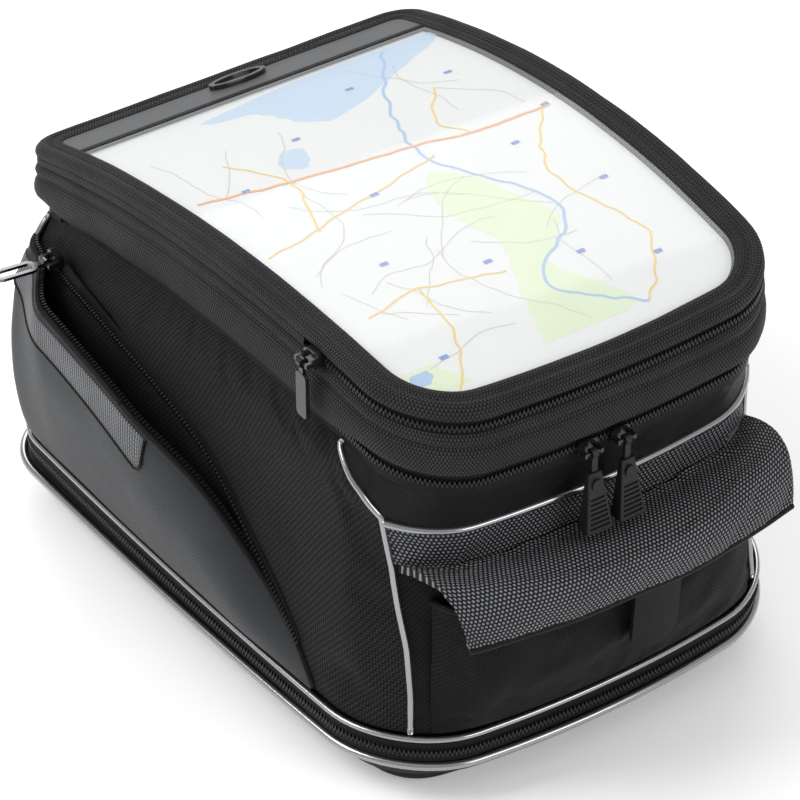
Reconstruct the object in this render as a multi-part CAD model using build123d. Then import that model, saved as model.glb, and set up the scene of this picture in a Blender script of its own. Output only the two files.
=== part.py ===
"""Motorcycle tank bag with a domed map lid, two side pockets, a rear flap pocket and an expansion zip.

Millimetres. Origin: centre of the tank ring socket, on the plane the bag rests on. +Z up, +Y towards the
steering head, -Y towards the rider. The lid's layers are bounded by cylinders along X: each one passes
through three points of the lid's crest, moved down by its depth.
"""

from build123d import *
import math
import os

os.makedirs("parts", exist_ok=True)

# ---- driving dimensions -------------------------------------------------------------------------------
TANK_PAD_H = 20.0          # foam pad under the tray
TRAY_TOP = 24.0            # stiff tray under the whole bag
BAND_TOP = 38.0            # top of the expansion zip band
WALL_FOOT = 42.0           # lower edge of the fabric walls
WALL_T = 5.0               # foam laminated wall
# crest of the lid: y, z of its top, and how thick its layers are there
CREST = ((-170.0, 226.8, 1.0), (-3.0, 233.6, 0.97), (164.0, 194.0, 0.78))
FLAP_T = 7.0               # map flap border
MAP_ZIP_MID = 10.0         # depth of the map zip's chain under the lid's top
LID_T = 36.0               # depth of the lid's lower edge
MAIN_ZIP_MID = 43.5        # depth of the main zip's chain
WALL_TOP_D = 50.0          # depth of the walls' upper edge
RIM_PIPE_D = 74.0          # depth of the silver piping under the rear zip
PIPE = 4.4                 # piping thickness
FIT = 0.3                  # gap between neighbouring pieces

BIG = 700.0

# plan outlines: half widths at the rear and front corners, their y, edge bulges and corner radii
BASE = dict(rear=113, front=130, y0=-158, y1=160, rear_b=12, side_b=4, front_b=5, rear_r=42, front_r=30)
MID = dict(rear=106, front=125, y0=-151, y1=158, rear_b=10, side_b=3, front_b=3, rear_r=40, front_r=26)
TOP = dict(rear=102, front=101, y0=-160, y1=155, rear_b=7, side_b=3, front_b=1, rear_r=38, front_r=22)
LID = dict(rear=103, front=111, y0=-163, y1=163, rear_b=7, side_b=3, front_b=0, rear_r=38, front_r=18)
TRAY = dict(rear=115, front=136, y0=-160, y1=164, rear_b=13, side_b=4, front_b=5, rear_r=44, front_r=34)
MID_Z, TOP_Z = 130.0, 200.0        # heights at which MID and TOP hold


def outline(o, grow=0.0):
    """Face in the XY plane: four bulged edges with rounded corners, all moved out by grow."""
    r, f = o["rear"] + grow, o["front"] + grow
    y0, y1 = o["y0"] - grow, o["y1"] + grow
    rl, rr, fr, fl = (-r, y0), (r, y0), (f, y1), (-f, y1)
    mid_x, mid_y, b = (r + f) / 2, (y0 + y1) / 2, o["side_b"]
    front = Line(fr, fl) if o["front_b"] == 0 else ThreePointArc(fr, (0, y1 + o["front_b"]), fl)
    edges = [ThreePointArc(rl, (0, y0 - o["rear_b"]), rr), ThreePointArc(rr, (mid_x + b, mid_y), fr),
             front, ThreePointArc(fl, (-mid_x - b, mid_y), rl)]
    face = Face(Wire([e.edge() for e in edges]))
    rear_v = [v for v in face.vertices() if v.Y < 0]
    face = face.fillet_2d(max(2.0, o["rear_r"] + grow), rear_v)
    front_v = [v for v in face.vertices() if v.Y > y1 - 1 and abs(v.X) > f - 1]
    return face.fillet_2d(max(2.0, o["front_r"] + grow), front_v)


def prism(o, grow, z0, z1):
    return extrude(Pos(0, 0, z0) * outline(o, grow), z1 - z0)


def crest_circle(depth):
    """Centre y, z and radius of the circle through the crest's points, moved down by depth."""
    (y1, z1), (y2, z2), (y3, z3) = [(y, z - depth * k) for y, z, k in CREST]
    a, b = y2 - y1, z2 - z1
    c, d = y3 - y1, z3 - z1
    e, f = a * (y1 + y2) + b * (z1 + z2), c * (y1 + y3) + d * (z1 + z3)
    g = 2 * (a * d - b * c)
    cy, cz = (d * e - b * f) / g, (a * f - c * e) / g
    return cy, cz, math.hypot(y1 - cy, z1 - cz)


def dome(depth):
    """Everything under the lid's surface moved down by depth."""
    cy, cz, r = crest_circle(depth)
    return Pos(0, cy, cz) * Rot(0, 90, 0) * Cylinder(r, BIG)


def slab(upper, lower):
    return dome(upper) - dome(lower)


def dome_z(y, depth=0.0):
    cy, cz, r = crest_circle(depth)
    return cz + math.sqrt(r ** 2 - (y - cy) ** 2)


def zone(y0=-BIG, y1=BIG, x0=-BIG, x1=BIG, z0=-BIG, z1=BIG):
    return Pos((x0 + x1) / 2, (y0 + y1) / 2, (z0 + z1) / 2) * Box(x1 - x0, y1 - y0, z1 - z0)


def lid_ring(outer, inner):
    return prism(LID, outer, 100, 260) - prism(LID, inner, 90, 270)


def lid_core(grow):
    return prism(LID, grow, 100, 260)


def mix(a, b, t):
    return {k: a[k] + (b[k] - a[k]) * t for k in a}


def wall_outline(z):
    if z < MID_Z:
        return mix(BASE, MID, (z - WALL_FOOT) / (MID_Z - WALL_FOOT))
    return mix(MID, TOP, (z - MID_Z) / (TOP_Z - MID_Z))


def body(sections):
    """Ruled loft of the wall's outline through (z, grow) sections, with one more where the wall turns in."""
    (z0, g0), (z1, g1) = sections[0], sections[-1]
    if len(sections) == 2 and z0 < MID_Z < z1:
        sections = [(z0, g0), (MID_Z, g0 + (g1 - g0) * (MID_Z - z0) / (z1 - z0)), (z1, g1)]
    faces = [Pos(0, 0, z) * outline(wall_outline(z), g) for z, g in sections]
    return loft(faces, ruled=True)


def side_region(points, x_side):
    """Prism along X on one side of the bag, from an outline drawn in the YZ plane."""
    face = make_face(Polyline(*[(0, y, z) for y, z in points], close=True))
    return extrude(face, BIG / 2, dir=(x_side, 0, 0))


def curve_region(points, far_y):
    """Prism along X, both ways, between a smooth curve in the YZ plane and far_y."""
    pts = [(0, y, z) for y, z in points]
    curve = Spline(*pts)
    top, low = pts[-1], pts[0]
    far = Polyline(top, (0, far_y, top[2]), (0, far_y, low[2]), low)
    return extrude(make_face(curve + far), BIG / 2, both=True)


def keep(name, shape):
    """Writes one node, as a plain compound of its solids."""
    solids = [s for s in shape.solids() if s.volume > 0.5]
    out = solids[0] if len(solids) == 1 else Compound(children=solids)
    out.label = name
    export_step(out, f"parts/{name}.step")
    print(name, len(solids), round(sum(s.volume for s in solids)))
    return out


# ---- base: pad, tray, socket ring and its latch ---------------------------------------------------------
SOCKET_R = 55.0            # bore that drops over the tank ring
SOCKET_DEPTH = 12.0
ADAPTER_R = 80.0
SCREW_PITCH = 94.0         # square pattern of the four adapter screws
LATCH_W, LATCH_H, LATCH_Z = 24.0, 5.0, 8.0
STRAP_W = 18.0


def base_pad():
    pad = prism(TRAY, -14, 0, TANK_PAD_H)
    pad = chamfer(pad.faces().sort_by(Axis.Z)[0].edges(), 5)
    recess = Pos(0, 0, TANK_PAD_H / 2) * Cylinder(ADAPTER_R + FIT, TANK_PAD_H + 2)
    channel = zone(-BIG, 0, -LATCH_W / 2 - 1, LATCH_W / 2 + 1, -1, 12)
    return pad - recess - channel


def base_tray():
    tray = prism(TRAY, -2.6, TANK_PAD_H + 0.05, TRAY_TOP)
    return tray - screw_holes(2.8)


def screw_spots():
    half = SCREW_PITCH / 2
    return [(sx * half, sy * half) for sx in (-1, 1) for sy in (-1, 1)]


def screw_holes(r):
    return [Pos(x, y, 15) * Cylinder(r, 60) for x, y in screw_spots()]


def adapter():
    ring = Pos(0, 0, TANK_PAD_H / 2) * Cylinder(ADAPTER_R, TANK_PAD_H)
    ring = fillet(ring.faces().sort_by(Axis.Z)[0].edges(), 2)
    bore = Pos(0, 0, SOCKET_DEPTH / 2 - 1) * Cylinder(SOCKET_R, SOCKET_DEPTH + 2)
    slot = zone(-BIG, 0, -LATCH_W / 2 - 0.2, LATCH_W / 2 + 0.2,
                LATCH_Z - LATCH_H / 2 - 0.2, LATCH_Z + LATCH_H / 2 + 0.2)
    heads = [Pos(x, y, 1.6) * Cylinder(5.2, 3.6) for x, y in screw_spots()]
    return ring - bore - slot - screw_holes(2.8) - heads


def adapter_screws():
    screws = Part()
    for x, y in screw_spots():
        head = Pos(x, y, 1.9) * Cylinder(4.8, 2.6)
        head -= Pos(x, y, 0.4) * extrude(RegularPolygon(2.0, 6), 1.6)
        screws += head + Pos(x, y, 16.8) * Cylinder(2.4, 28)
    return screws


def adapter_nuts():
    nuts = Part()
    for x, y in screw_spots():
        blank = extrude(RegularPolygon(4.4, 6), 3) - Cylinder(2.5, 9)
        nuts += Pos(x, y, TRAY_TOP + 3.05) * blank
    return nuts


def base_board():
    board = prism(TRAY, -12, TRAY_TOP + 0.05, TRAY_TOP + 3)
    return board - screw_holes(2.8)


def latch():
    y_nose = -SOCKET_R - 0.4
    block = zone(y_nose - 19, y_nose, -LATCH_W / 2, LATCH_W / 2, LATCH_Z - LATCH_H / 2, LATCH_Z + LATCH_H / 2)
    block -= zone(y_nose - 15, y_nose - 5, -8, 8, LATCH_Z, BIG)
    return block & Pos(0, 0, LATCH_Z) * (Cylinder(ADAPTER_R - 0.2, 20) - Cylinder(SOCKET_R + 0.4, 30))


def release_strap():
    y_start = -SOCKET_R - 19.6
    strap = zone(y_start - 66, y_start + 0.2, -STRAP_W / 2, STRAP_W / 2, LATCH_Z - 0.8, LATCH_Z + 0.8)
    end = zone(y_start - 74, y_start - 66.1, -STRAP_W / 2 - 2, STRAP_W / 2 + 2, LATCH_Z - 2, LATCH_Z + 2)
    return strap + end + zone(y_start - 67, y_start - 65, -8, 8, LATCH_Z - 0.8, LATCH_Z + 0.8)


def lower_piping():
    return prism(TRAY, PIPE / 2, TRAY_TOP - PIPE / 2, TRAY_TOP + PIPE / 2) - prism(TRAY, -2.2, 0, 60)


def band(z0, z1, out, thick):
    return prism(BASE, out, z0, z1) - prism(BASE, out - thick, z0 - 5, z1 + 5)


def expansion_zip_lower():
    return band(TRAY_TOP + PIPE / 2 + 0.1, 32.2, 2.0, 3.0)


def expansion_zip_upper():
    return band(32.6, BAND_TOP - 0.3, 2.0, 3.0)


def expansion_gusset():
    return band(TRAY_TOP + 0.1, BAND_TOP - 0.1, -1.6, 2.0)


def upper_piping():
    return band(BAND_TOP, BAND_TOP + 3.8, PIPE / 2, PIPE + 2)


# ---- walls ----------------------------------------------------------------------------------------------
REAR_SEAM = [(-141, 30), (-147, 90), (-141, 140), (-116, 186), (-80, 230)]   # (y, z) of the rear piping
FRONT_SEAM_Y = 148.0


def wall_shell(out, inner):
    outer = body([(WALL_FOOT, out), (TOP_Z, out)])
    core = body([(WALL_FOOT - 4, inner), (TOP_Z + 2, inner)])
    return (outer - core) & dome(WALL_TOP_D)


def rear_zone(shift=0.0):
    return curve_region([(y + shift, z) for y, z in REAR_SEAM], -BIG / 2)


def zip_band_rear(walls):
    return walls & rear_zone(-2.4) & slab(0, RIM_PIPE_D - PIPE / 2)


def rear_panel(walls):
    return walls & rear_zone(-2.4) & dome(RIM_PIPE_D + PIPE / 2)


def side_panel(walls, x_side):
    half = zone(x0=0, x1=BIG) if x_side > 0 else zone(x0=-BIG, x1=0)
    return (walls & half & zone(y1=FRONT_SEAM_Y - PIPE / 2)) - rear_zone(2.4)


def front_panel(walls):
    return walls & zone(y0=FRONT_SEAM_Y + PIPE / 2)


def corner_strip(x_side, front):
    strip = wall_shell(PIPE / 2 - 0.4, -WALL_T)
    half = zone(x0=0, x1=BIG) if x_side > 0 else zone(x0=-BIG, x1=0)
    if front:
        return strip & half & zone(FRONT_SEAM_Y - PIPE / 2 + 0.1, FRONT_SEAM_Y + PIPE / 2 - 0.1)
    return (strip & half & rear_zone(2.3)) - rear_zone(-2.3)


def corner_piping():
    strips = Part()
    for x_side in (-1, 1):
        for front in (False, True):
            strips += corner_strip(x_side, front)
    return strips


def rim_piping():
    strip = wall_shell(PIPE / 2 - 0.4, -WALL_T)
    return strip & rear_zone(-2.5) & slab(RIM_PIPE_D - PIPE / 2 + 0.1, RIM_PIPE_D + PIPE / 2 - 0.1)


def body_lining():
    outer = body([(WALL_FOOT, -WALL_T - FIT), (TOP_Z, -WALL_T - FIT)])
    core = body([(WALL_FOOT - 4, -WALL_T - 1.3), (TOP_Z + 2, -WALL_T - 1.3)])
    return (outer - core) & dome(WALL_TOP_D + 1)


def main_zip(upper_d, lower_d):
    return (lid_ring(-4.2, -6.7) & slab(upper_d, lower_d)) & zone(y1=132)


def lid_hinge_strip():
    return (lid_ring(-4.2, -6.2) & slab(LID_T + 0.6, WALL_TOP_D - 0.3)) & zone(y0=134)


def carry_handle():
    y_face, z_mid = 162.6, 112.0
    webbing = Part()
    for x in (-44, 44):
        webbing += zone(y_face, y_face + 2.4, x - 11, x + 11, z_mid - 13, z_mid + 13)
    arch = Plane.XY.offset(z_mid) * (ThreePointArc((-44, y_face + 1.2), (0, y_face + 26), (44, y_face + 1.2)))
    profile = Plane(origin=arch.edge() @ 0, z_dir=arch.edge() % 0) * Rectangle(24, 2.4, rotation=90)
    return webbing + sweep(profile, arch)


# ---- lid ------------------------------------------------------------------------------------------------
FLAP_HINGE_Y = -86.0       # the map flap's fold line, where its zip ends
WINDOW_FRONT_Y = 126.0
BORDER_W = 12.0


def map_border():
    rim = lid_ring(0, -BORDER_W) & slab(0, FLAP_T)
    skirt = lid_ring(0, -WALL_T) & slab(FLAP_T - 1, 13.8)
    front = (rim + skirt) & zone(y0=FLAP_HINGE_Y + 0.4)
    rear = rim & zone(y1=FLAP_HINGE_Y - 0.4)
    return front, rear


def window():
    film = lid_core(-BORDER_W - 0.2) & slab(2.6, 3.6)
    front = film & zone(y0=FLAP_HINGE_Y + 0.4, y1=WINDOW_FRONT_Y)
    return front, film & zone(y1=FLAP_HINGE_Y - 0.4)


def front_strip():
    return lid_core(-BORDER_W - 0.2) & slab(2.4, 4.2) & zone(y0=WINDOW_FRONT_Y + 0.3)


def map_sheet():
    paper = lid_core(-BORDER_W - 2) & slab(4.8, 5.2)
    return paper & zone(y0=-156, y1=WINDOW_FRONT_Y - 4, x0=-92, x1=92)


def map_pad():
    return lid_core(-BORDER_W - 0.3) & slab(5.6, 13.6)


def map_zip(upper_d, lower_d):
    return (lid_ring(-1.2, -3.7) & slab(upper_d, lower_d)) & zone(y1=FLAP_HINGE_Y - 0.6)


def lid_wall():
    return lid_ring(0, -WALL_T) & slab(14, LID_T)


def lid_panel():
    return lid_core(-WALL_T - FIT) & slab(14, 19)


BADGE = (0.0, 144.2)


def oval_badge():
    """Oval moulding on the front strip: a raised rim round a shallow dish."""
    cy, _, r = crest_circle(2.4)
    tilt = math.degrees(math.asin((BADGE[1] - cy) / r))
    at = Pos(BADGE[0], BADGE[1], dome_z(BADGE[1], 2.4)) * Rot(-tilt, 0, 0)
    rim = extrude(Ellipse(16, 6.2), 3.0) - Pos(0, 0, 1.6) * extrude(Ellipse(13, 4.0), 3)
    return at * Pos(0, 0, 0.1) * fillet(rim.edges().sort_by(Axis.Z)[-2:], 0.6)


# ---- rear pocket ----------------------------------------------------------------------------------------
POCKET_HALF = 93.0
POCKET_TOP = 116.0
FLAP_AXIS = (-163.0, 136.0)          # y, z of the rear flap's hinge
# hood section: distance out from the hinge and height above it
HOOD = [(1.2, 0.0), (9, 2.9), (17, 4.2), (24, 3.2), (29.5, -1), (31.5, -9), (30.5, -21), (27, -33)]
HOOD_T = 3.0
HOOD_HALF_DEG = 13.4
REAR_ARC_R = 420.0


def pocket_parts():
    outer = body([(WALL_FOOT + 1, 3), (70, 10), (POCKET_TOP, 21)])
    inner = body([(WALL_FOOT - 1, 0.6), (70, 7.5), (POCKET_TOP + 2, 18.9)])
    wall = body([(WALL_FOOT - 4, 0.4), (TOP_Z, 0.4)])
    rear = zone(y1=-128)
    solid = outer - wall
    face = (solid - inner) & rear & zone(x0=-POCKET_HALF, x1=POCKET_HALF, z0=WALL_FOOT + 4.4)
    ends = Part()
    for s in (-1, 1):
        a, b = sorted((s * (POCKET_HALF + 0.3), s * (POCKET_HALF + 2.8)))
        ends += solid & rear & zone(x0=a, x1=b)
    foot = solid & rear & zone(x0=-POCKET_HALF, x1=POCKET_HALF, z1=WALL_FOOT + 4)
    return face, ends + foot


def hood_face(points, thick, flip=1):
    """Closed section in the YZ plane at x = 0, thick measured inwards from the points."""
    y0, z0 = FLAP_AXIS
    outer = Spline(*[(0, y0 - d, z0 + h) for d, h in points])
    inner_pts = []
    for i, (d, h) in enumerate(points):
        a, b = points[max(0, i - 1)], points[min(len(points) - 1, i + 1)]
        tx, tz = b[0] - a[0], b[1] - a[1]
        n = math.hypot(tx, tz)
        inner_pts.append((0, y0 - (d + tz / n * thick * flip), z0 + h - tx / n * thick * flip))
    inner = Spline(*inner_pts)
    return make_face(outer + inner + Line(outer @ 0, inner @ 0) + Line(outer @ 1, inner @ 1))


def around_rear(face, half_deg):
    """Turns a section at x = 0 about the rear edge's upright axis, both ways."""
    axis = Axis((0, FLAP_AXIS[0] + REAR_ARC_R, 0), (0, 0, 1))
    start = face.rotate(axis, -half_deg)
    return revolve(start, axis, 2 * half_deg)


def rear_flap():
    return around_rear(hood_face(HOOD, HOOD_T), HOOD_HALF_DEG)


def pull_tab():
    y0, z0 = FLAP_AXIS
    d, h = HOOD[-1]
    tab = zone(y0 - d - 1.8, y0 - d + 0.4, -5, 21, z0 + h - 31, z0 + h - 3.4)
    return fillet(tab.edges().filter_by(Axis.Y).sort_by(Axis.Z)[:2], 6)


# ---- side pockets ---------------------------------------------------------------------------------------
POCKET_EDGE = [(146, 150), (112, 151.5), (70, 149), (22, 141), (-20, 124), (-52, 104)]
POCKET_REAR = [(-103, 47), (-52, 47), (146, 47)]
MOUTH = (-12.0, 62.0)      # the stretch of the pocket's face that swings out
MOUTH_OPEN = 9.0           # degrees the left mouth stands open at rest
POCKET_HINGE_Z = 49.0
SIDE_SECTIONS = [(44, 3.0), (92, 13.5), (156, 9.5)]
SIDE_T = 2.6


def hinge_line(x_side):
    """A point on the foot of the side pocket and the direction of its hinge, towards +Y."""
    o = wall_outline(POCKET_HINGE_Z)
    slope = (o["front"] - o["rear"]) / (o["y1"] - o["y0"])
    at = Vector(x_side * (o["rear"] + slope * (25 - o["y0"]) + o["side_b"] + 3.4), 25, POCKET_HINGE_Z)
    return at, Vector(x_side * slope, 1, 0).normalized()


def side_pocket(x_side):
    outer = body(SIDE_SECTIONS)
    inner = body([(SIDE_SECTIONS[0][0] - 1, SIDE_SECTIONS[0][1] - SIDE_T),
                  (SIDE_SECTIONS[1][0], SIDE_SECTIONS[1][1] - SIDE_T),
                  (SIDE_SECTIONS[2][0] + 1, SIDE_SECTIONS[2][1] - SIDE_T)])
    wall = body([(WALL_FOOT - 4, 1.9), (TOP_Z, 1.9)])
    region = side_region(POCKET_EDGE + POCKET_REAR, x_side)
    shell = (outer - inner - wall) & region
    front = shell & zone(y0=MOUTH[1] + 0.5)
    front_end = (outer - wall) & region & zone(y0=142)
    rear = shell & zone(y1=MOUTH[0] - 0.5)
    at, along = hinge_line(x_side)
    square = Plane(origin=at, z_dir=along)
    cut = square * Box(300, 400, MOUTH[1] - MOUTH[0] - 1)
    mouth = shell & cut & zone(z0=POCKET_HINGE_Z + 2)
    return mouth, front + front_end, rear


def pocket_zip(x_side):
    """The zip half sewn to the wall, following the pocket's upper edge."""
    strip = body([(60, 1.7), (TOP_Z, 1.7)]) - body([(58, 0.2), (TOP_Z + 1, 0.2)])
    upper = [(y, z + 5.5) for y, z in POCKET_EDGE[1:]]
    lower = [(y, z + 0.6) for y, z in reversed(POCKET_EDGE[1:])]
    return strip & side_region(upper + lower, x_side)


# ---- zip sliders ----------------------------------------------------------------------------------------
# Built with the chain along X, the outside towards -Y, and the bridge bar's axis at the origin.
BAR_R = 0.9
BAR_OUT = 4.2              # bar in front of the slider's face


def slider():
    block = Pos(0, BAR_OUT + 1.6, 0) * Box(10.5, 3.2, 8.4)
    block = fillet(block.edges().filter_by(Axis.Y), 2.6)
    posts = Pos(-4.2, 1.9, 0) * Box(1.6, 5.6, 2.4) + Pos(4.2, 1.9, 0) * Box(1.6, 5.6, 2.4)
    bar = Rot(0, 90, 0) * Cylinder(BAR_R, 9.6)
    return block + posts + bar


def eye(width=3.0):
    return Rot(0, 90, 0) * (Cylinder(2.5, width) - Cylinder(BAR_R + 0.3, width + 2))


PULLER_L = 40.0            # from the bar's axis to the wedge's end


def wedge_puller():
    """Moulded rubber pull: a thin neck, then a ribbed wedge."""
    neck = Pos(0, -0.6, -6.4) * Box(3.0, 1.8, 9.4)
    top = Pos(0, -0.8, -10) * Rectangle(7.0, 3.0)
    low = Pos(0, -3.4, -PULLER_L) * Rectangle(14.4, 8.2)
    wedge = loft([top, low], ruled=True)
    wedge = fillet(wedge.edges().filter_by(lambda e: e.length > 20), 0.9)
    for i in range(7):
        z = -23.0 - i * 2.4
        front_y = -2.3 + (z + 10) * 0.17
        wedge -= Pos(0, front_y, z) * Box(7.6 + i * 0.5, 1.3, 1.2)
    boss = Pos(0, -2.7, -16) * Rot(90, 0, 0) * extrude(Ellipse(2.6, 3.2), 1.6, both=True)
    return eye() + neck + wedge + boss


def flat_puller(length=24.0, width=8.0):
    neck = Pos(0, 0, -4.4) * Box(3.0, 1.6, 5.4)
    tab = Pos(0, 0, -6 - length / 2) * Box(width, 2.0, length)
    tab = fillet(tab.edges().filter_by(Axis.Y), 2.4)
    return eye() + neck + tab


def loop_puller(length=24.0, width=9.0):
    neck = Pos(0, 0, -4.0) * Box(3.0, 1.5, 4.6)
    frame = Pos(0, 0, -5 - length / 2) * Rot(90, 0, 0) * (
        extrude(SlotOverall(length, width, rotation=90), 0.8, both=True)
        - extrude(SlotOverall(length - 4.4, width - 4.0, rotation=90), 2, both=True))
    return eye() + neck + frame


# rest places of the bridge bars
LID_REAR_Y = LID["y0"] - LID["rear_b"]
LID_REAR_R = (LID["rear"] ** 2 + LID["rear_b"] ** 2) / (2 * LID["rear_b"])   # arc of the lid's rear edge
BAR_SETBACK = 3.5          # bridge bars of the main sliders stand this far behind the lid's rear edge


def rear_bar(x):
    """Bridge bar of a main slider at x along the rear zip, and the turn that faces it outwards."""
    reach = LID_REAR_R + BAR_SETBACK
    turn = math.asin(x / reach)
    y = LID_REAR_Y + LID_REAR_R - reach * math.cos(turn)
    return (x, y, dome_z(y, MAIN_ZIP_MID)), math.degrees(turn)


MAIN_SLIDER_X = (-15.0, 3.0)
MAP_BAR = (-115.2, -93.0, dome_z(-93.0, MAP_ZIP_MID))
POCKET_BAR_LEFT = (118.0, 157.0)     # y, z at the mouth's front end, where the open zip parks
POCKET_BAR_RIGHT = (-44.0, 115.0)    # y, z at the rear end, where the closed zip parks
SIDE_BAR_OUT = 11.4        # bridge bars of the side pockets' sliders stand this far outside the wall
PULLER_LIFT = dict(left=95.0, right=36.0)    # degrees a pocket puller stands out from hanging
EXPANSION_BAR = (0.0, 174.8, 32.4)


def wall_x(y, z):
    o = wall_outline(z)
    t = (y - o["y0"]) / (o["y1"] - o["y0"])
    return o["rear"] + (o["front"] - o["rear"]) * t + o["side_b"] * (1 - (2 * t - 1) ** 2)


def side_frame(x_side, y, z, chain_deg):
    """Place of a slider on a side wall: chain tilted in the YZ plane, face outwards."""
    x = x_side * (wall_x(y, z) + SIDE_BAR_OUT)
    return Pos(x, y, z) * Rot(0, 0, x_side * 90) * Rot(0, -x_side * chain_deg, 0)


def make_all():
    walls = wall_shell(0, -WALL_T)
    keep("base_pad", base_pad())
    keep("base_tray", base_tray())
    keep("base_board", base_board())
    keep("ring_adapter", adapter())
    keep("adapter_screws", adapter_screws())
    keep("adapter_nuts", adapter_nuts())
    keep("latch", latch())
    keep("release_strap", release_strap())
    keep("lower_piping", lower_piping())
    keep("expansion_zip_lower", expansion_zip_lower())
    keep("expansion_zip_upper", expansion_zip_upper())
    keep("expansion_gusset", expansion_gusset())
    keep("upper_piping", upper_piping())

    keep("rear_panel", rear_panel(walls))
    keep("rear_zip_band", zip_band_rear(walls))
    keep("left_side_panel", side_panel(walls, -1))
    keep("right_side_panel", side_panel(walls, 1))
    keep("front_panel", front_panel(walls))
    keep("corner_piping", corner_piping())
    keep("rim_piping", rim_piping())
    keep("body_lining", body_lining())
    keep("main_zip_lower", main_zip(MAIN_ZIP_MID + 0.2, WALL_TOP_D - 0.2))
    keep("lid_hinge_strip", lid_hinge_strip())
    keep("carry_handle", carry_handle())

    border_front, border_rear = map_border()
    window_front, window_rear = window()
    keep("lid_border", border_front)
    keep("map_flap_border", border_rear)
    keep("window_front", window_front)
    keep("window_rear", window_rear)
    keep("front_strip", front_strip())
    keep("map_sheet", map_sheet())
    keep("map_pad", map_pad())
    keep("map_zip_upper", map_zip(FLAP_T + 0.1, MAP_ZIP_MID - 0.2))
    keep("map_zip_lower", map_zip(MAP_ZIP_MID + 0.2, 13.8))
    keep("lid_wall", lid_wall())
    keep("lid_panel", lid_panel())
    keep("main_zip_upper", main_zip(LID_T + 0.2, MAIN_ZIP_MID - 0.2))
    keep("oval_badge", oval_badge())

    pocket_face, pocket_ends = pocket_parts()
    keep("rear_pocket_face", pocket_face)
    keep("rear_pocket_gusset", pocket_ends)
    keep("rear_flap", rear_flap())
    keep("pull_tab", pull_tab())

    keep("pocket_zips", pocket_zip(-1) + pocket_zip(1))
    for side, x_side in (("left", -1), ("right", 1)):
        mouth, front, rear = side_pocket(x_side)
        if x_side < 0:
            at, along = hinge_line(x_side)
            mouth = mouth.rotate(Axis(at, along), -MOUTH_OPEN)
        keep(f"{side}_pocket_mouth", mouth)
        keep(f"{side}_pocket_shell", front + rear)

    for side, x in zip(("left", "right"), MAIN_SLIDER_X):
        (bx, by, bz), turn = rear_bar(x)
        place = Pos(bx, by, bz) * Rot(0, 0, turn)
        keep(f"main_slider_{side}", place * slider())
        keep(f"main_puller_{side}", place * wedge_puller())
    place = Pos(*MAP_BAR) * Rot(0, 0, -90)
    keep("map_slider", place * slider())
    keep("map_puller", place * flat_puller())
    place = Pos(*EXPANSION_BAR) * Rot(0, 0, 180)
    keep("expansion_slider", place * slider())
    keep("expansion_puller", place * flat_puller(18, 7))
    for side, x_side, (y, z), tilt in (("left", -1, POCKET_BAR_LEFT, 0), ("right", 1, POCKET_BAR_RIGHT, 32)):
        place = side_frame(x_side, y, z, tilt)
        lift = Rot(-PULLER_LIFT[side], 0, 0)
        keep(f"{side}_pocket_slider", place * slider())
        keep(f"{side}_pocket_puller", place * lift * loop_puller())


make_all()
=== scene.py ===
"""A soft motorcycle tank bag, built round the frame of its solid parts.

Lengths are in millimetres up to the point where a mesh is made, and the axes are the frame's: +Z up,
+Y towards the steering head, -Y towards the rider. Fabric shells are grids of points, rows by columns.
"""

import math
import random

import bpy
import numpy as np
from mathutils import Matrix, Vector, noise


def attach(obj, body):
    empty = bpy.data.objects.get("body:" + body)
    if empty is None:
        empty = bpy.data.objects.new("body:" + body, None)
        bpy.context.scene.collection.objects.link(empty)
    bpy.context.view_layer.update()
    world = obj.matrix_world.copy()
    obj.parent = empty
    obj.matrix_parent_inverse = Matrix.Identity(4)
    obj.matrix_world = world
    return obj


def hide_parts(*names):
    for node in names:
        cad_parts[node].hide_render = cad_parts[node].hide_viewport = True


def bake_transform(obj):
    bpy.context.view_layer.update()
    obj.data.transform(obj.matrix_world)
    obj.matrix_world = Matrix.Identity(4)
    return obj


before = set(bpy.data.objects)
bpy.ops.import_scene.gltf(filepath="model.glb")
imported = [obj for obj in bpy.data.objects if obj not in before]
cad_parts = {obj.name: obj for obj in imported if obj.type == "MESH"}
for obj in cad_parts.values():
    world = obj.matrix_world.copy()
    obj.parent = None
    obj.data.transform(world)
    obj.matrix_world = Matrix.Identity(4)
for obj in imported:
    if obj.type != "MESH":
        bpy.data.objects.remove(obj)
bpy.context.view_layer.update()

MM = 0.001
CENTRE = np.array((0.0, 0.0, 110.0))
CREST = ((-170.0, 226.8, 1.0), (-3.0, 233.6, 0.97), (164.0, 194.0, 0.78))
BASE = dict(rear=113, front=130, y0=-158, y1=160, rear_b=12, side_b=4, front_b=5, rear_r=42, front_r=30)
MID = dict(rear=106, front=125, y0=-151, y1=158, rear_b=10, side_b=3, front_b=3, rear_r=40, front_r=26)
LID = dict(rear=103, front=111, y0=-163, y1=163, rear_b=7, side_b=3, front_b=0, rear_r=38, front_r=18)
TRAY = dict(rear=115, front=136, y0=-160, y1=164, rear_b=13, side_b=4, front_b=5, rear_r=44, front_r=34)

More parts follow.
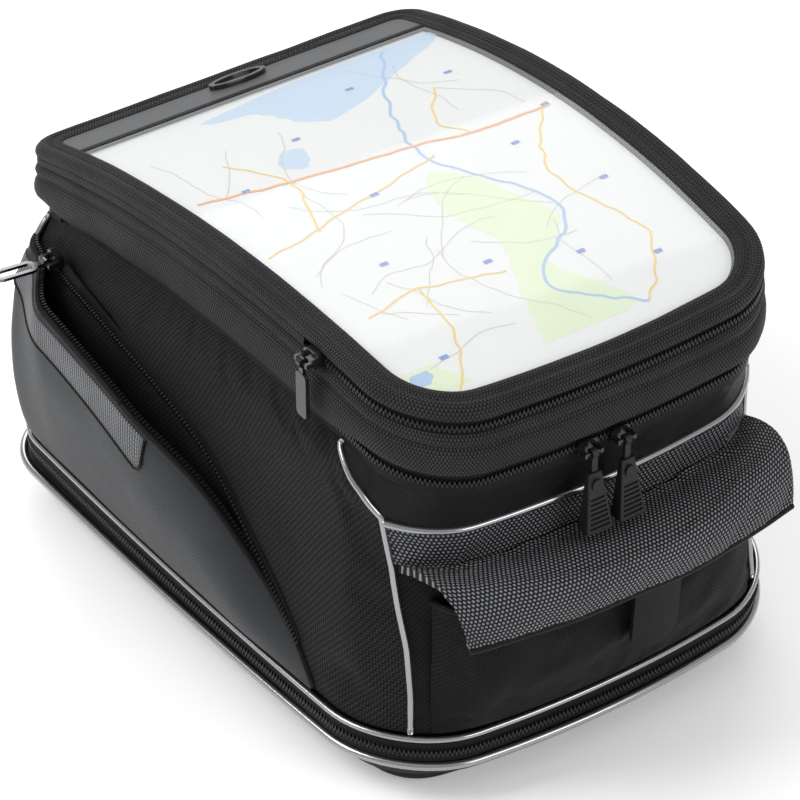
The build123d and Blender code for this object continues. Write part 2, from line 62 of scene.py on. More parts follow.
TRAY_TOP = 24.0
WALL_FOOT = 42.0
MID_Z = 130.0
PIPE_R = 2.2
MAP_ZIP = 10.0            # depths of the zip chains under the lid's crest
MAIN_ZIP = 43.5
WALL_TOP = 50.0
FOLD_Y = -86.0            # fold line of the map flap
STRIP_Y = 126.0           # the window's front edge
BORDER = 12.5
FRONT_SEAM = 148.0
REAR_SEAM = [(40, -152), (63, -150), (89, -146.5), (109, -142), (127, -138.4), (159, -134), (170, -124),
             (183, -105)]   # z, y
TOOTH_PITCH = 2.1
CHANNEL_DEPTH = 3.2       # how far a side wall is drawn in behind its slider
POCKET_FOOT = 43.5        # height of the side pockets' foot
CREASE_Z = 134.5          # height at which the rear flap is sewn to its wall
HOOD_HALF = 97.0          # half width of the rear flap at its crease
HOOD_REACH = 197.0        # how far the rear flap's edge stands out, at the middle
WALL_ROWS = 26            # rows of the wall's grid, below its shoulder and over it
SHOULDER_ROWS = 14
CORD_SIDES = 12
STITCH_STEP = 3.2
STITCH_LENGTH = 2.0
CLOTH_FRAMES = 14
CLOTH_STIFFNESS = 12.0


# ---- curves and surfaces of the bag ---------------------------------------------------------------------
EDGE_STEPS = (40, 64, 40, 64)
CORNER_STEPS = 14
LEFT = (172, 263)         # outline samples from the front-left corner to the rear-left one
RIGHT = (40, 131)
ROUND = 264


def outline(o, grow=0.0):
    """Rows of x, y round an outline, anticlockwise from the rear edge's left end."""
    r, f = o["rear"] + grow, o["front"] + grow
    y0, y1 = o["y0"] - grow, o["y1"] + grow
    corners = np.array([(-r, y0), (r, y0), (f, y1), (-f, y1)], float)
    bulges = (o["rear_b"], o["side_b"], o["front_b"], o["side_b"])
    radii = [max(2.0, o[k] + grow) for k in ("rear_r", "rear_r", "front_r", "front_r")]
    edges, tangents = [], []
    for i in range(4):
        a, b = corners[i], corners[(i + 1) % 4]
        length = np.linalg.norm(b - a)
        out = np.array(((b - a)[1], -(b - a)[0])) / length
        t = np.linspace(radii[i] / length, 1 - radii[(i + 1) % 4] / length, EDGE_STEPS[i])[:, None]
        edges.append(a + t * (b - a) + 4 * t * (1 - t) * bulges[i] * out)
        slope = (b - a) + 4 * (1 - 2 * t[[0, -1]]) * bulges[i] * out
        tangents.append(slope / np.linalg.norm(slope, axis=1)[:, None])
    points = []
    for i in range(4):
        j = (i + 1) % 4
        handle = 0.5523 * radii[j]
        a, d = edges[i][-1], edges[j][0]
        b, c = a + tangents[i][1] * handle, d - tangents[j][0] * handle
        t = np.linspace(0, 1, CORNER_STEPS + 2)[1:-1, None]
        corner = (1 - t) ** 3 * a + 3 * (1 - t) ** 2 * t * b + 3 * (1 - t) * t ** 2 * c + t ** 3 * d
        points += [edges[i], corner]
    return np.vstack(points)


def crest_circle(depth):
    (y1, z1), (y2, z2), (y3, z3) = [(y, z - depth * k) for y, z, k in CREST]
    a, b, c, d = y2 - y1, z2 - z1, y3 - y1, z3 - z1
    e, f = a * (y1 + y2) + b * (z1 + z2), c * (y1 + y3) + d * (z1 + z3)
    g = 2 * (a * d - b * c)
    cy, cz = (d * e - b * f) / g, (a * f - c * e) / g
    return cy, cz, math.hypot(y1 - cy, z1 - cz)


def dome_z(y, depth):
    cy, cz, r = crest_circle(depth)
    return cz + np.sqrt(r ** 2 - (np.asarray(y, float) - cy) ** 2)


def lid_rows(profile):
    """Grid round the lid: one row for each grow, depth of the profile."""
    rows = []
    for grow, depth in profile:
        xy = outline(LID, grow)
        rows.append(np.c_[xy, dome_z(xy[:, 1], depth)])
    return np.array(rows)


def flat_rows(o, profile):
    """Grid round a flat outline: one row for each grow, z of the profile."""
    rows = []
    for grow, z in profile:
        xy = outline(o, grow)
        rows.append(np.c_[xy, np.full(len(xy), z)])
    return np.array(rows)


def lid_half_width(y, grow):
    xy = outline(LID, grow)[LEFT[0]:]
    return -np.interp(y, xy[::-1, 1], xy[::-1, 0])


def lid_area(grow, depth, y0, y1, rows, cols=44):
    """Grid over the lid between two y, out to its outline moved by grow."""
    ends = 0.5 - 0.5 * np.cos(np.linspace(0, math.pi, rows))
    y = y0 + (y1 - y0) * (0.5 * ends + 0.5 * np.linspace(0, 1, rows))
    x = np.outer(lid_half_width(y, grow), np.linspace(-1, 1, cols))
    yy = np.repeat(y[:, None], cols, axis=1)
    return np.stack([x, yy, dome_z(yy, depth)], axis=-1)


def wall_grid(grow=0.0):
    """The walls from their foot to the rear zip, with a shoulder that rounds in under the lid."""
    base, mid, top = outline(BASE, grow), outline(MID, grow), outline(LID, -4.0 + grow)
    z_top = dome_z(top[:, 1], WALL_TOP)
    drop = np.interp(mid[:, 1], [-100, -40, 110, 158], [24, 38, 38, 33])
    z_low = z_top - drop
    rows = []
    for t in np.linspace(0, 1, WALL_ROWS):
        z = WALL_FOOT + t * (z_low - WALL_FOOT)
        a = np.clip((z - WALL_FOOT) / (MID_Z - WALL_FOOT), 0, 1)[:, None]
        rows.append(np.c_[base + (mid - base) * a, z])
    start = rows[-1]
    bend = np.c_[start[:, :2], z_low + 0.72 * drop]
    end = np.c_[top, z_top]
    for t in np.linspace(0, 1, SHOULDER_ROWS)[1:]:
        rows.append((1 - t) ** 2 * start + 2 * (1 - t) * t * bend + t ** 2 * end)
    return np.array(rows)


def crossing(row, side, y_of_z):
    """Fractional sample at which a row of the wall passes the curve y_of_z on one side."""
    i0, i1 = side
    part = row[i0:i1 + 1]
    gap = part[:, 1] - y_of_z(part[:, 2])
    k = np.nonzero(gap[:-1] * gap[1:] <= 0)[0][0]
    return i0 + k + gap[k] / (gap[k] - gap[k + 1])


def cut(row, start, end, count):
    """Points spread evenly along a closed row between two fractional samples."""
    if end < start:
        end += ROUND
    at = np.r_[start, np.arange(math.floor(start) + 1, math.ceil(end)), end]
    low = np.floor(at).astype(int)
    part = (at - low)[:, None]
    points = row[low % ROUND] * (1 - part) + row[(low + 1) % ROUND] * part
    length = np.r_[0, np.cumsum(np.linalg.norm(np.diff(points, axis=0), axis=1))]
    even = np.linspace(0, length[-1], count)
    return np.stack([np.interp(even, length, points[:, k]) for k in range(3)], axis=-1)


def rear_seam(z):
    return np.interp(z, [p[0] for p in REAR_SEAM], [p[1] for p in REAR_SEAM])


def front_seam(z):
    return np.full(np.shape(z), FRONT_SEAM)


def wall_panels(grid):
    """The walls' rows cut at their seams into left, right, rear and front grids."""
    panels = dict(left=[], right=[], rear=[], front=[])
    for row in grid:
        lf, lr = crossing(row, LEFT, front_seam), crossing(row, LEFT, rear_seam)
        rr, rf = crossing(row, RIGHT, rear_seam), crossing(row, RIGHT, front_seam)
        panels["left"].append(cut(row, lf, lr, 92))
        panels["right"].append(cut(row, rr, rf, 92))
        panels["rear"].append(cut(row, lr, rr, 84))
        panels["front"].append(cut(row, rf, lf, 84))
    return {k: np.array(v) for k, v in panels.items()}


def smooth(points, per):
    """Catmull-Rom curve through the points."""
    p = np.array(points, float)
    p = np.vstack([2 * p[0] - p[1], p, 2 * p[-1] - p[-2]])
    out = []
    for i in range(1, len(p) - 2):
        for t in np.linspace(0, 1, per, endpoint=False):
            out.append(0.5 * ((2 * p[i]) + (p[i + 1] - p[i - 1]) * t
                              + (2 * p[i - 1] - 5 * p[i] + 4 * p[i + 1] - p[i + 2]) * t ** 2
                              + (3 * p[i] - p[i - 1] - 3 * p[i + 1] + p[i + 2]) * t ** 3))
    out.append(p[-2])
    return np.array(out)


def even_path(path, step, closed=False, shift=0.0):
    """Points at equal steps along a path, with their tangents."""
    p = np.vstack([path, path[:1]]) if closed else path
    length = np.r_[0, np.cumsum(np.linalg.norm(np.diff(p, axis=0), axis=1))]
    count = int(length[-1] / step)
    at = (np.arange(count) + shift) * length[-1] / count
    points = np.stack([np.interp(at, length, p[:, k]) for k in range(3)], axis=-1)
    ahead = np.stack([np.interp(at + 0.5, length, p[:, k]) for k in range(3)], axis=-1)
    behind = np.stack([np.interp(at - 0.5, length, p[:, k]) for k in range(3)], axis=-1)
    return points, unit(ahead - behind)


def unit(v):
    return v / np.maximum(np.linalg.norm(v, axis=-1, keepdims=True), 1e-9)


def grid_normals(grid):
    n = unit(np.cross(np.gradient(grid, axis=1), np.gradient(grid, axis=0)))
    if np.sum(n * (grid - CENTRE)) < 0:
        n = -n
    return n


def rough(grid, size, scale, seed):
    """Moves a grid's points along its normals by smooth noise."""
    n = grid_normals(grid)
    out = grid.copy()
    for index in np.ndindex(grid.shape[:2]):
        p = grid[index]
        value = noise.fractal(Vector(p / scale) + Vector((seed, 0, 0)), 1.0, 2.0, 2)
        out[index] = p + n[index] * value * size
    return out


def ramp(x, a, b):
    """Smooth step from 0 at a to 1 at b."""
    t = np.clip((x - a) / (b - a), 0, 1)
    return t * t * (3 - 2 * t)


# ---- meshes ---------------------------------------------------------------------------------------------
def make_object(name, verts, faces, uvs=None, material=None):
    mesh = bpy.data.meshes.new(name)
    mesh.from_pydata((np.asarray(verts) * MM).tolist(), [], faces)
    if uvs is not None:
        layer = mesh.uv_layers.new(name="mm")
        layer.data.foreach_set("uv", np.asarray(uvs, float).ravel())
    mesh.update()
    facing = 0.0
    for poly in mesh.polygons:
        facing += poly.area * Vector(poly.normal).dot(Vector(poly.center) - Vector(CENTRE * MM))
    if facing < 0:
        mesh.flip_normals()
    mesh.polygons.foreach_set("use_smooth", [True] * len(mesh.polygons))
    obj = bpy.data.objects.new(name, mesh)
    bpy.context.collection.objects.link(obj)
    if material:
        mesh.materials.append(material)
    return obj


def surface(name, grid, material, wrap_rows=False, wrap_cols=False, thick=0.0, caps=False):
    """Mesh of a grid with coordinates in millimetres for its weave."""
    rows, cols = grid.shape[:2]
    n_r, n_c = (rows if wrap_rows else rows - 1), (cols if wrap_cols else cols - 1)
    r, c = np.meshgrid(np.arange(n_r), np.arange(n_c), indexing="ij")
    r2, c2 = (r + 1) % rows, (c + 1) % cols
    quads = np.stack([r * cols + c, r * cols + c2, r2 * cols + c2, r2 * cols + c], -1).reshape(-1, 4)
    wide = np.concatenate([grid, grid[:, :1]], axis=1)
    tall = np.concatenate([grid, grid[:1]], axis=0)
    u = np.r_[0, np.cumsum(np.linalg.norm(np.diff(wide, axis=1), axis=2).mean(axis=0))]
    v = np.r_[0, np.cumsum(np.linalg.norm(np.diff(tall, axis=0), axis=2).mean(axis=1))]
    uv = np.stack([np.stack([u[c], v[r]], -1), np.stack([u[c + 1], v[r]], -1),
                   np.stack([u[c + 1], v[r + 1]], -1), np.stack([u[c], v[r + 1]], -1)], axis=-2)
    faces, uvs = quads.tolist(), uv.reshape(-1, 2).tolist()
    if caps:
        for col in (0, cols - 1):
            ring = [k * cols + col for k in range(rows)]
            faces.append(ring if col else ring[::-1])
            uvs += [[u[col], v[k]] for k in range(rows)]
    obj = make_object(name, grid.reshape(-1, 3), faces, uvs, material)
    if thick:
        shell = obj.modifiers.new("thickness", "SOLIDIFY")
        shell.thickness = thick * MM
        shell.offset = -1
        crisp = obj.modifiers.new("crisp_rims", "EDGE_SPLIT")
        crisp.split_angle = math.radians(55)
    return obj


def tube(name, path, radius, ref, material, closed=False):
    """Round cord along a path; ref is a direction across the path at each point."""
    if closed:
        tangent = unit(np.roll(path, -1, axis=0) - np.roll(path, 1, axis=0))
    else:
        tangent = unit(np.gradient(path, axis=0))
    a = unit(np.cross(tangent, ref))
    b = np.cross(a, tangent)
    turn = np.linspace(0, 2 * math.pi, CORD_SIDES, endpoint=False)
    grid = np.array([path + radius * (math.cos(t) * a + math.sin(t) * b) for t in turn])
    return surface(name, grid, material, wrap_rows=True, wrap_cols=closed, caps=not closed)


def blocks(name, points, along, across, out, size, material, taper=0.7):
    """Small blocks at points: size is half length, near and far edge across, and height."""
    half, near, far, height = size
    middle = (near + far) / 2
    verts, faces = [], []
    for p, t, a, n in zip(points, along, across, out):
        first = len(verts)
        for k, h in ((1.0, 0.0), (taper, height)):
            for s, w in ((-1, near), (1, near), (1, far), (-1, far)):
                verts.append(p + t * half * s * k + a * (middle + (w - middle) * k) + n * h)
        f = first
        faces += [[f + 4, f + 5, f + 6, f + 7], [f + 3, f + 2, f + 1, f]]
        faces += [[f + i, f + (i + 1) % 4, f + 4 + (i + 1) % 4, f + 4 + i] for i in range(4)]
    obj = make_object(name, verts, faces, None, material)
    obj.data.polygons.foreach_set("use_smooth", [False] * len(faces))
    return obj


def zip_teeth(name, path, out, across, side, material, closed=False):
    """One half of a coil zip's chain: side is +1 or -1 along across, the halves interlock."""
    points, along = even_path(path, TOOTH_PITCH, closed, 0.25 if side > 0 else 0.75)
    reach = unit(np.broadcast_to(across, path.shape)) * side
    length = np.linalg.norm(points[:, None] - path[None], axis=2)
    nearest = np.argmin(length, axis=1)
    out = np.broadcast_to(out, path.shape)[nearest]
    return blocks(name, points, along, reach[nearest], out, (0.62, -0.55, 2.1, 1.3), material)


def stitches(name, path, out, material):
    """A row of short raised threads along a path."""
    points, along = even_path(path, STITCH_STEP)
    nearest = np.argmin(np.linalg.norm(points[:, None] - path[None], axis=2), axis=1)
    n = unit(np.broadcast_to(out, path.shape))[nearest]
    across = unit(np.cross(along, n))
    size = (STITCH_LENGTH / 2, -0.28, 0.28, 0.35)
    return blocks(name, points, along, across, n, size, material, 0.8)


def shaped(obj, body, slot, *nodes, fill=None):
    """Rides a body and replaces nodes; slot and fill are not used."""
    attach(obj, body)
    return dressed(obj, slot, *nodes, fill=fill)


def dressed(obj, slot, *nodes, fill=None):
    if nodes:
        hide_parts(*nodes)
    return obj


# ---- cloth ----------------------------------------------------------------------------------------------
def swell(grid, pressure, cap):
    """Inflates a panel of cloth that is held at its edges, by at most cap."""
    rows, cols = grid.shape[:2]
    obj = surface("swell", grid, None)
    pins = obj.vertex_groups.new(name="pins")
    r, c = np.meshgrid(np.arange(rows), np.arange(cols), indexing="ij")
    held = (r == 0) | (r == rows - 1) | (c == 0) | (c == cols - 1)
    pins.add(np.nonzero(held.ravel())[0].tolist(), 1.0, "REPLACE")
    cloth = obj.modifiers.new("cloth", "CLOTH")
    s = cloth.settings
    s.quality = 6
    s.mass = 0.3
    s.tension_stiffness = s.compression_stiffness = CLOTH_STIFFNESS
    s.shear_stiffness = 5
    s.bending_stiffness = 0.6
    s.air_damping = 4
    s.use_pressure = True
    s.uniform_pressure_force = pressure
    s.shrink_min = -0.012
    s.vertex_group_mass = "pins"
    s.effector_weights.gravity = 0
    scene = bpy.context.scene
    for number in range(1, CLOTH_FRAMES + 1):
        scene.frame_set(number)
    seen = obj.evaluated_get(bpy.context.evaluated_depsgraph_get()).data
    moved = np.array([v.co for v in seen.vertices]).reshape(grid.shape) / MM - grid
    bpy.data.objects.remove(obj)
    scene.frame_set(1)
    size = np.linalg.norm(moved, axis=2, keepdims=True)
    return grid + moved * np.minimum(1, cap / np.maximum(size, 1e-6))


# ---- materials ------------------------------------------------------------------------------------------
class Nodes:
    """Short names for the node calls that the materials share."""

    def __init__(self, name, colour, roughness, **values):
        self.material = bpy.data.materials.new(name)
        self.material.use_nodes = True
        self.tree = self.material.node_tree
        self.shader = self.tree.nodes["Principled BSDF"]
        self.shader.inputs["Base Color"].default_value = (*colour, 1)
        self.shader.inputs["Roughness"].default_value = roughness
        for key, value in values.items():
            self.shader.inputs[key.replace("_", " ")].default_value = value

    def link(self, a, b):
        self.tree.links.new(a, b)

    def math(self, kind, a, b=0.0, c=0.0):
        node = self.tree.nodes.new("ShaderNodeMath")
        node.operation = kind
        for socket, value in zip(node.inputs, (a, b, c)):
            if isinstance(value, (int, float)):
                socket.default_value = value
            else:
                self.link(value, socket)
        return node.outputs[0]

    def uv(self):
        node = self.tree.nodes.new("ShaderNodeUVMap")
        node.uv_map = "mm"
        split = self.tree.nodes.new("ShaderNodeSeparateXYZ")
        self.link(node.outputs[0], split.inputs[0])
        return split.outputs[0], split.outputs[1]

    def noise(self, scale, detail=3.0):
        place = self.tree.nodes.new("ShaderNodeTexCoord")
        node = self.tree.nodes.new("ShaderNodeTexNoise")
        node.inputs["Scale"].default_value = scale
        node.inputs["Detail"].default_value = detail
        self.link(place.outputs["Object"], node.inputs["Vector"])
        return node.outputs["Fac"]

    def wave(self, socket, pitch):
        """0 to 1, once for each pitch."""
        turn = self.math("MULTIPLY", socket, 2 * math.pi / pitch)
        return self.math("MULTIPLY_ADD", self.math("SINE", turn), 0.5, 0.5)

    def mix(self, factor, a, b):
        node = self.tree.nodes.new("ShaderNodeMix")
        node.data_type = "RGBA"
        self.link(factor, node.inputs["Factor"])
        colour_in = [s for s in node.inputs if s.type == "RGBA"]
        for socket, value in zip(colour_in, (a, b)):
            if isinstance(value, tuple):
                socket.default_value = (*value, 1)
            else:
                self.link(value, socket)
        return [s for s in node.outputs if s.type == "RGBA"][0]

    def colour(self, socket):
        self.link(socket, self.shader.inputs["Base Color"])

    def rough(self, factor, low, high):
        value = self.math("MULTIPLY_ADD", factor, high - low, low)
        self.link(value, self.shader.inputs["Roughness"])

    def bump(self, height, distance, strength=1.0):
        node = self.tree.nodes.new("ShaderNodeBump")
        node.inputs["Distance"].default_value = distance * MM
        node.inputs["Strength"].default_value = strength
        self.link(height, node.inputs["Height"])
        self.link(node.outputs[0], self.shader.inputs["Normal"])


def weave(name, dark, pale, pitch, depth, sheen, roughness):
    """Basket weave: warp and weft threads change places from cell to cell."""
    m = Nodes(name, dark, roughness, Sheen_Weight=sheen, Sheen_Roughness=0.4, Specular_IOR_Level=0.12)
    u, v = m.uv()
    warp, weft = m.wave(u, pitch), m.wave(v, pitch)
    turn = m.math("MULTIPLY", m.math("SINE", m.math("MULTIPLY", u, math.pi / pitch)),
                  m.math("SINE", m.math("MULTIPLY", v, math.pi / pitch)))
    over = m.math("GREATER_THAN", turn, 0.0)
    height = m.math("ADD", m.math("MULTIPLY", over, warp),
                    m.math("MULTIPLY", m.math("SUBTRACT", 1.0, over), weft))
    wear = m.math("MULTIPLY_ADD", m.noise(34.0), 0.5, 0.25)
    m.colour(m.mix(m.math("MULTIPLY", height, wear), dark, pale))
    m.rough(height, roughness + 0.12, roughness - 0.1)
    m.bump(height, depth)
    return m.material


def ribbed(name, dark, pale, pitch, depth, sheen, roughness, brick=0.5):
    """Ribs that run along v, with finer threads across them."""
    m = Nodes(name, dark, roughness, Sheen_Weight=sheen, Sheen_Roughness=0.35, Specular_IOR_Level=0.14)
    u, v = m.uv()
    row = m.math("FLOOR", m.math("DIVIDE", v, pitch))
    shift = m.math("MULTIPLY", m.math("MODULO", row, 2.0), pitch * brick)
    rib = m.wave(m.math("ADD", u, shift), pitch)
    thread = m.wave(v, pitch)
    height = m.math("MULTIPLY", rib, m.math("MULTIPLY_ADD", thread, 0.6, 0.4))
    wear = m.math("MULTIPLY_ADD", m.noise(40.0), 0.6, 0.25)
    m.colour(m.mix(m.math("MULTIPLY", height, wear), dark, pale))
    m.rough(height, roughness + 0.12, roughness - 0.12)
    m.bump(height, depth)
    return m.material


def dotted(name, ground, dot, pitch):
    """Rows of raised pale dots, every other row shifted by half a pitch."""
    m = Nodes(name, ground, 0.55, Specular_IOR_Level=0.14)
    u, v = m.uv()
    y = m.math("DIVIDE", v, pitch * 0.866)
    shift = m.math("MULTIPLY", m.math("FLOORED_MODULO", m.math("FLOOR", y), 2.0), 0.5)
    x = m.math("ADD", m.math("DIVIDE", u, pitch), shift)
    dx = m.math("SUBTRACT", m.math("FRACT", x), 0.5)
    dy = m.math("MULTIPLY", m.math("SUBTRACT", m.math("FRACT", y), 0.5), 0.866)
    far = m.math("SQRT", m.math("ADD", m.math("MULTIPLY", dx, dx), m.math("MULTIPLY", dy, dy)))
    mask = m.tree.nodes.new("ShaderNodeMapRange")
    mask.interpolation_type = "SMOOTHSTEP"
    m.link(far, mask.inputs["Value"])
    for key, value in (("From Min", 0.22), ("From Max", 0.42), ("To Min", 1.0), ("To Max", 0.0)):
        mask.inputs[key].default_value = value
    dots = mask.outputs[0]
    wear = m.math("MULTIPLY_ADD", m.noise(26.0), 0.5, 0.72)
    m.colour(m.mix(m.math("MULTIPLY", dots, wear), ground, dot))
    m.rough(dots, 0.65, 0.45)
    m.bump(dots, 0.45)
    return m.material


def moulded(name, colour, roughness, grain, depth, coat=0.0, **values):
    """Plastic, rubber or enamel with a fine grain and slightly uneven gloss."""
    values.setdefault("Specular_IOR_Level", 0.3)
    m = Nodes(name, colour, roughness, Coat_Weight=coat, Coat_Roughness=0.12, **values)
    fine = m.noise(grain, 2.0)
    broad = m.noise(24.0, 3.0)
    pale = tuple(min(1.0, c * 1.5 + 0.006) for c in colour)
    m.colour(m.mix(m.math("MULTIPLY", broad, 0.6), colour, pale))
    m.rough(broad, roughness * 0.8, min(1.0, roughness * 1.25))
    m.bump(fine, depth)
    return m.material


def printed(name, colour, spread):
    """Printed paper: faint mottling and fibre."""
    m = Nodes(name, colour, 0.55, Specular_IOR_Level=0.3)
    shade = tuple(max(0.0, c - spread) for c in colour)
    m.colour(m.mix(m.noise(60.0, 4.0), colour, shade))
    m.bump(m.noise(1500.0, 2.0), 0.02)
    return m.material


def clear_film(name):
    m = Nodes(name, (0.95, 0.97, 1.0), 0.06, Alpha=0.2, IOR=2.0)
    m.rough(m.noise(9.0, 2.0), 0.04, 0.09)
    m.bump(m.noise(14.0, 2.0), 0.5, 0.35)
    return m.material


def make_materials():
    return dict(
        side=weave("ballistic_nylon", (0.0012, 0.0012, 0.0014), (0.031, 0.031, 0.035), 1.5, 0.26, 0.02, 0.62),
        ribs=ribbed("ribbed_nylon", (0.002, 0.002, 0.0022), (0.085, 0.085, 0.092), 1.6, 0.34, 0.02, 0.58),
        panel=weave("plain_nylon", (0.0015, 0.0015, 0.0017), (0.015, 0.015, 0.017), 1.3, 0.14, 0.01, 0.68),
        mesh=dotted("dotted_mesh", (0.005, 0.005, 0.006), (0.20, 0.205, 0.215), 2.15),
        pocket=weave("pocket_weave", (0.012, 0.013, 0.0145), (0.06, 0.065, 0.072), 0.9, 0.1, 0.12, 0.5),
        pale_ribs=ribbed("reflective_ribs", (0.03, 0.031, 0.033), (0.38, 0.39, 0.41),
                         1.9, 0.3, 0.1, 0.45, 0.0),
        tape=weave("smooth_tape", (0.002, 0.002, 0.0022), (0.012, 0.012, 0.0135), 0.7, 0.05, 0.03, 0.5),
        lining=weave("coated_lining", (0.03, 0.03, 0.033), (0.09, 0.09, 0.1), 0.8, 0.05, 0.05, 0.6),
        webbing=ribbed("webbing", (0.003, 0.003, 0.0035), (0.035, 0.035, 0.038), 1.4, 0.3, 0.05, 0.6),
        silver=moulded("silver_piping", (0.26, 0.265, 0.275), 0.17, 300.0, 0.02, coat=0.7, Metallic=0.9),
        coil=moulded("coil_teeth", (0.005, 0.005, 0.0055), 0.36, 1400.0, 0.02),
        enamel=moulded("black_enamel", (0.006, 0.006, 0.0065), 0.24, 500.0, 0.015, coat=0.25),
        steel=moulded("zinc_steel", (0.52, 0.52, 0.53), 0.3, 900.0, 0.02, Metallic=1.0),
        bright=moulded("polished_metal", (0.16, 0.16, 0.165), 0.22, 700.0, 0.01, Metallic=1.0),
        rubber=moulded("ribbed_rubber", (0.006, 0.006, 0.0065), 0.5, 1200.0, 0.05),
        plastic=moulded("moulded_nylon", (0.010, 0.010, 0.011), 0.5, 1600.0, 0.06),
        foam=moulded("closed_cell_foam", (0.006, 0.006, 0.0065), 0.85, 700.0, 0.25),
        strip=moulded("grey_coated_strip", (0.05, 0.053, 0.057), 0.42, 1100.0, 0.05, Sheen_Weight=0.1),
        badge=moulded("gloss_badge", (0.006, 0.006, 0.0065), 0.1, 400.0, 0.01, coat=0.8),
        thread=moulded("sewing_thread", (0.010, 0.010, 0.011), 0.6, 2400.0, 0.05),
        film=clear_film("vinyl_film"),
        paper=printed("map_paper", (0.70, 0.715, 0.70), 0.02),
        water=printed("map_water", (0.46, 0.59, 0.72), 0.03),
        river=printed("map_river", (0.30, 0.46, 0.68), 0.03),
        park=printed("map_park", (0.64, 0.73, 0.50), 0.03),
        motorway=printed("map_motorway", (0.80, 0.24, 0.10), 0.03),
        road=printed("map_road", (0.80, 0.52, 0.06), 0.03),
        lane=printed("map_lane", (0.50, 0.48, 0.40), 0.03),
        sign=printed("map_sign", (0.10, 0.20, 0.52), 0.03),
    )


MAT = make_materials()
WALLS = wall_grid()
PANELS = wall_panels(WALLS)
UP = np.array((0.0, 0.0, 1.0))


def wall_x(y, z):
    """Half width of the wall at y and an array of heights z, on the left side."""
    xs, zs = [], []
    for row in WALLS:
        side = row[LEFT[0]:LEFT[1] + 1][::-1]
        xs.append(-np.interp(y, side[:, 1], side[:, 0]))
        zs.append(np.interp(y, side[:, 1], side[:, 2]))
    return np.interp(z, zs, xs)


# ---- base -----------------------------------------------------------------------------------------------
def soft_copy(name, node, voxel, rounds, material):
    """Rounded copy of a solid node, for moulded foam."""
    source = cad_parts[node]
    obj = bpy.data.objects.new(name, source.data.copy())
    bpy.context.collection.objects.link(obj)
    obj.data.materials.clear()
    obj.data.materials.append(material)
    remesh = obj.modifiers.new("remesh", "REMESH")
    remesh.mode = "VOXEL"
    remesh.voxel_size = voxel * MM
    remesh.use_smooth_shade = True
    ease = obj.modifiers.new("ease", "SMOOTH")
    ease.iterations = rounds
    return obj


def make_base():
    shaped(soft_copy("foam_pad", "base_pad", 1.8, 4, MAT["foam"]), "base", "pad_foam", "base_pad", fill=1.0)
    loop = flat_rows(TRAY, [(0.4, TRAY_TOP)])[0]
    piping = tube("lower_piping_cord", loop, PIPE_R - 0.1, UP, MAT["silver"], closed=True)
    shaped(piping, "base", "silver_piping", "lower_piping")
    skirt = flat_rows(TRAY, [(-1.2, TRAY_TOP - 0.6), (-1.2, 19), (-3.5, 16.4), (-9, 15.6), (-13, 16.0)])
    shaped(surface("base_binding", skirt, MAT["tape"], wrap_cols=True, thick=1.2), "base", "tape")
    for name, body, z0, z1, side in (("lower", "base", 26.2, 31.9, -1), ("upper", "bag", 32.4, 38.0, 1)):
        tape = flat_rows(BASE, [(1.6, z0), (2.3, z0 + 0.5), (2.3, z1 - 0.5), (1.2, z1)])
        node = f"expansion_zip_{name}"
        shaped(surface(f"expansion_tape_{name}", tape, MAT["tape"], wrap_cols=True, thick=1.4), body,
               "coil_zip", node)
        path = flat_rows(BASE, [(2.3, 32.15)])[0]
        out = unit(path - CENTRE) * (1, 1, 0)
        shaped(zip_teeth(f"expansion_teeth_{name}", path, unit(out), UP, side, MAT["coil"], closed=True),
               body, "coil_zip")
    gusset = flat_rows(BASE, [(-0.5, 25.0), (-1.2, 28.0), (-0.9, 31.0), (-1.3, 34.0), (-0.6, 38.5)])
    cloth = surface("expansion_cloth", gusset, MAT["panel"], wrap_cols=True, thick=0.9)
    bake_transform(cloth)
    dressed(cloth, "panel_fabric", "expansion_gusset")
    loop = flat_rows(BASE, [(2.3, 40.0)])[0]
    piping = tube("upper_piping_cord", loop, PIPE_R - 0.7, UP, MAT["silver"], closed=True)
    shaped(piping, "bag", "silver_piping", "upper_piping")


# ---- walls ----------------------------------------------------------------------------------------------
def zip_channel(grid):
    """Draws a side wall in behind the front of its pocket's zip, where the slider runs."""
    y, z = grid[:, :, 1], grid[:, :, 2]
    near = np.exp(-((z - pocket_edge_z(y) - 2.0) / 8.0) ** 2) * ramp(y, 48, 72)
    grid[:, :, 0] -= np.sign(grid[:, :, 0]) * CHANNEL_DEPTH * near
    return grid


def wall_panel(name, grid, material, slot, *nodes, pressure=1.4, cap=3.0, channel=False):
    grid = swell(grid, pressure, cap)
    if channel:
        grid = zip_channel(grid.copy())
    grid = rough(grid, 0.5, 46.0, len(name))
    return shaped(surface(name, grid, MAT[material], thick=4.0), "bag", slot, *nodes, fill=0.5)


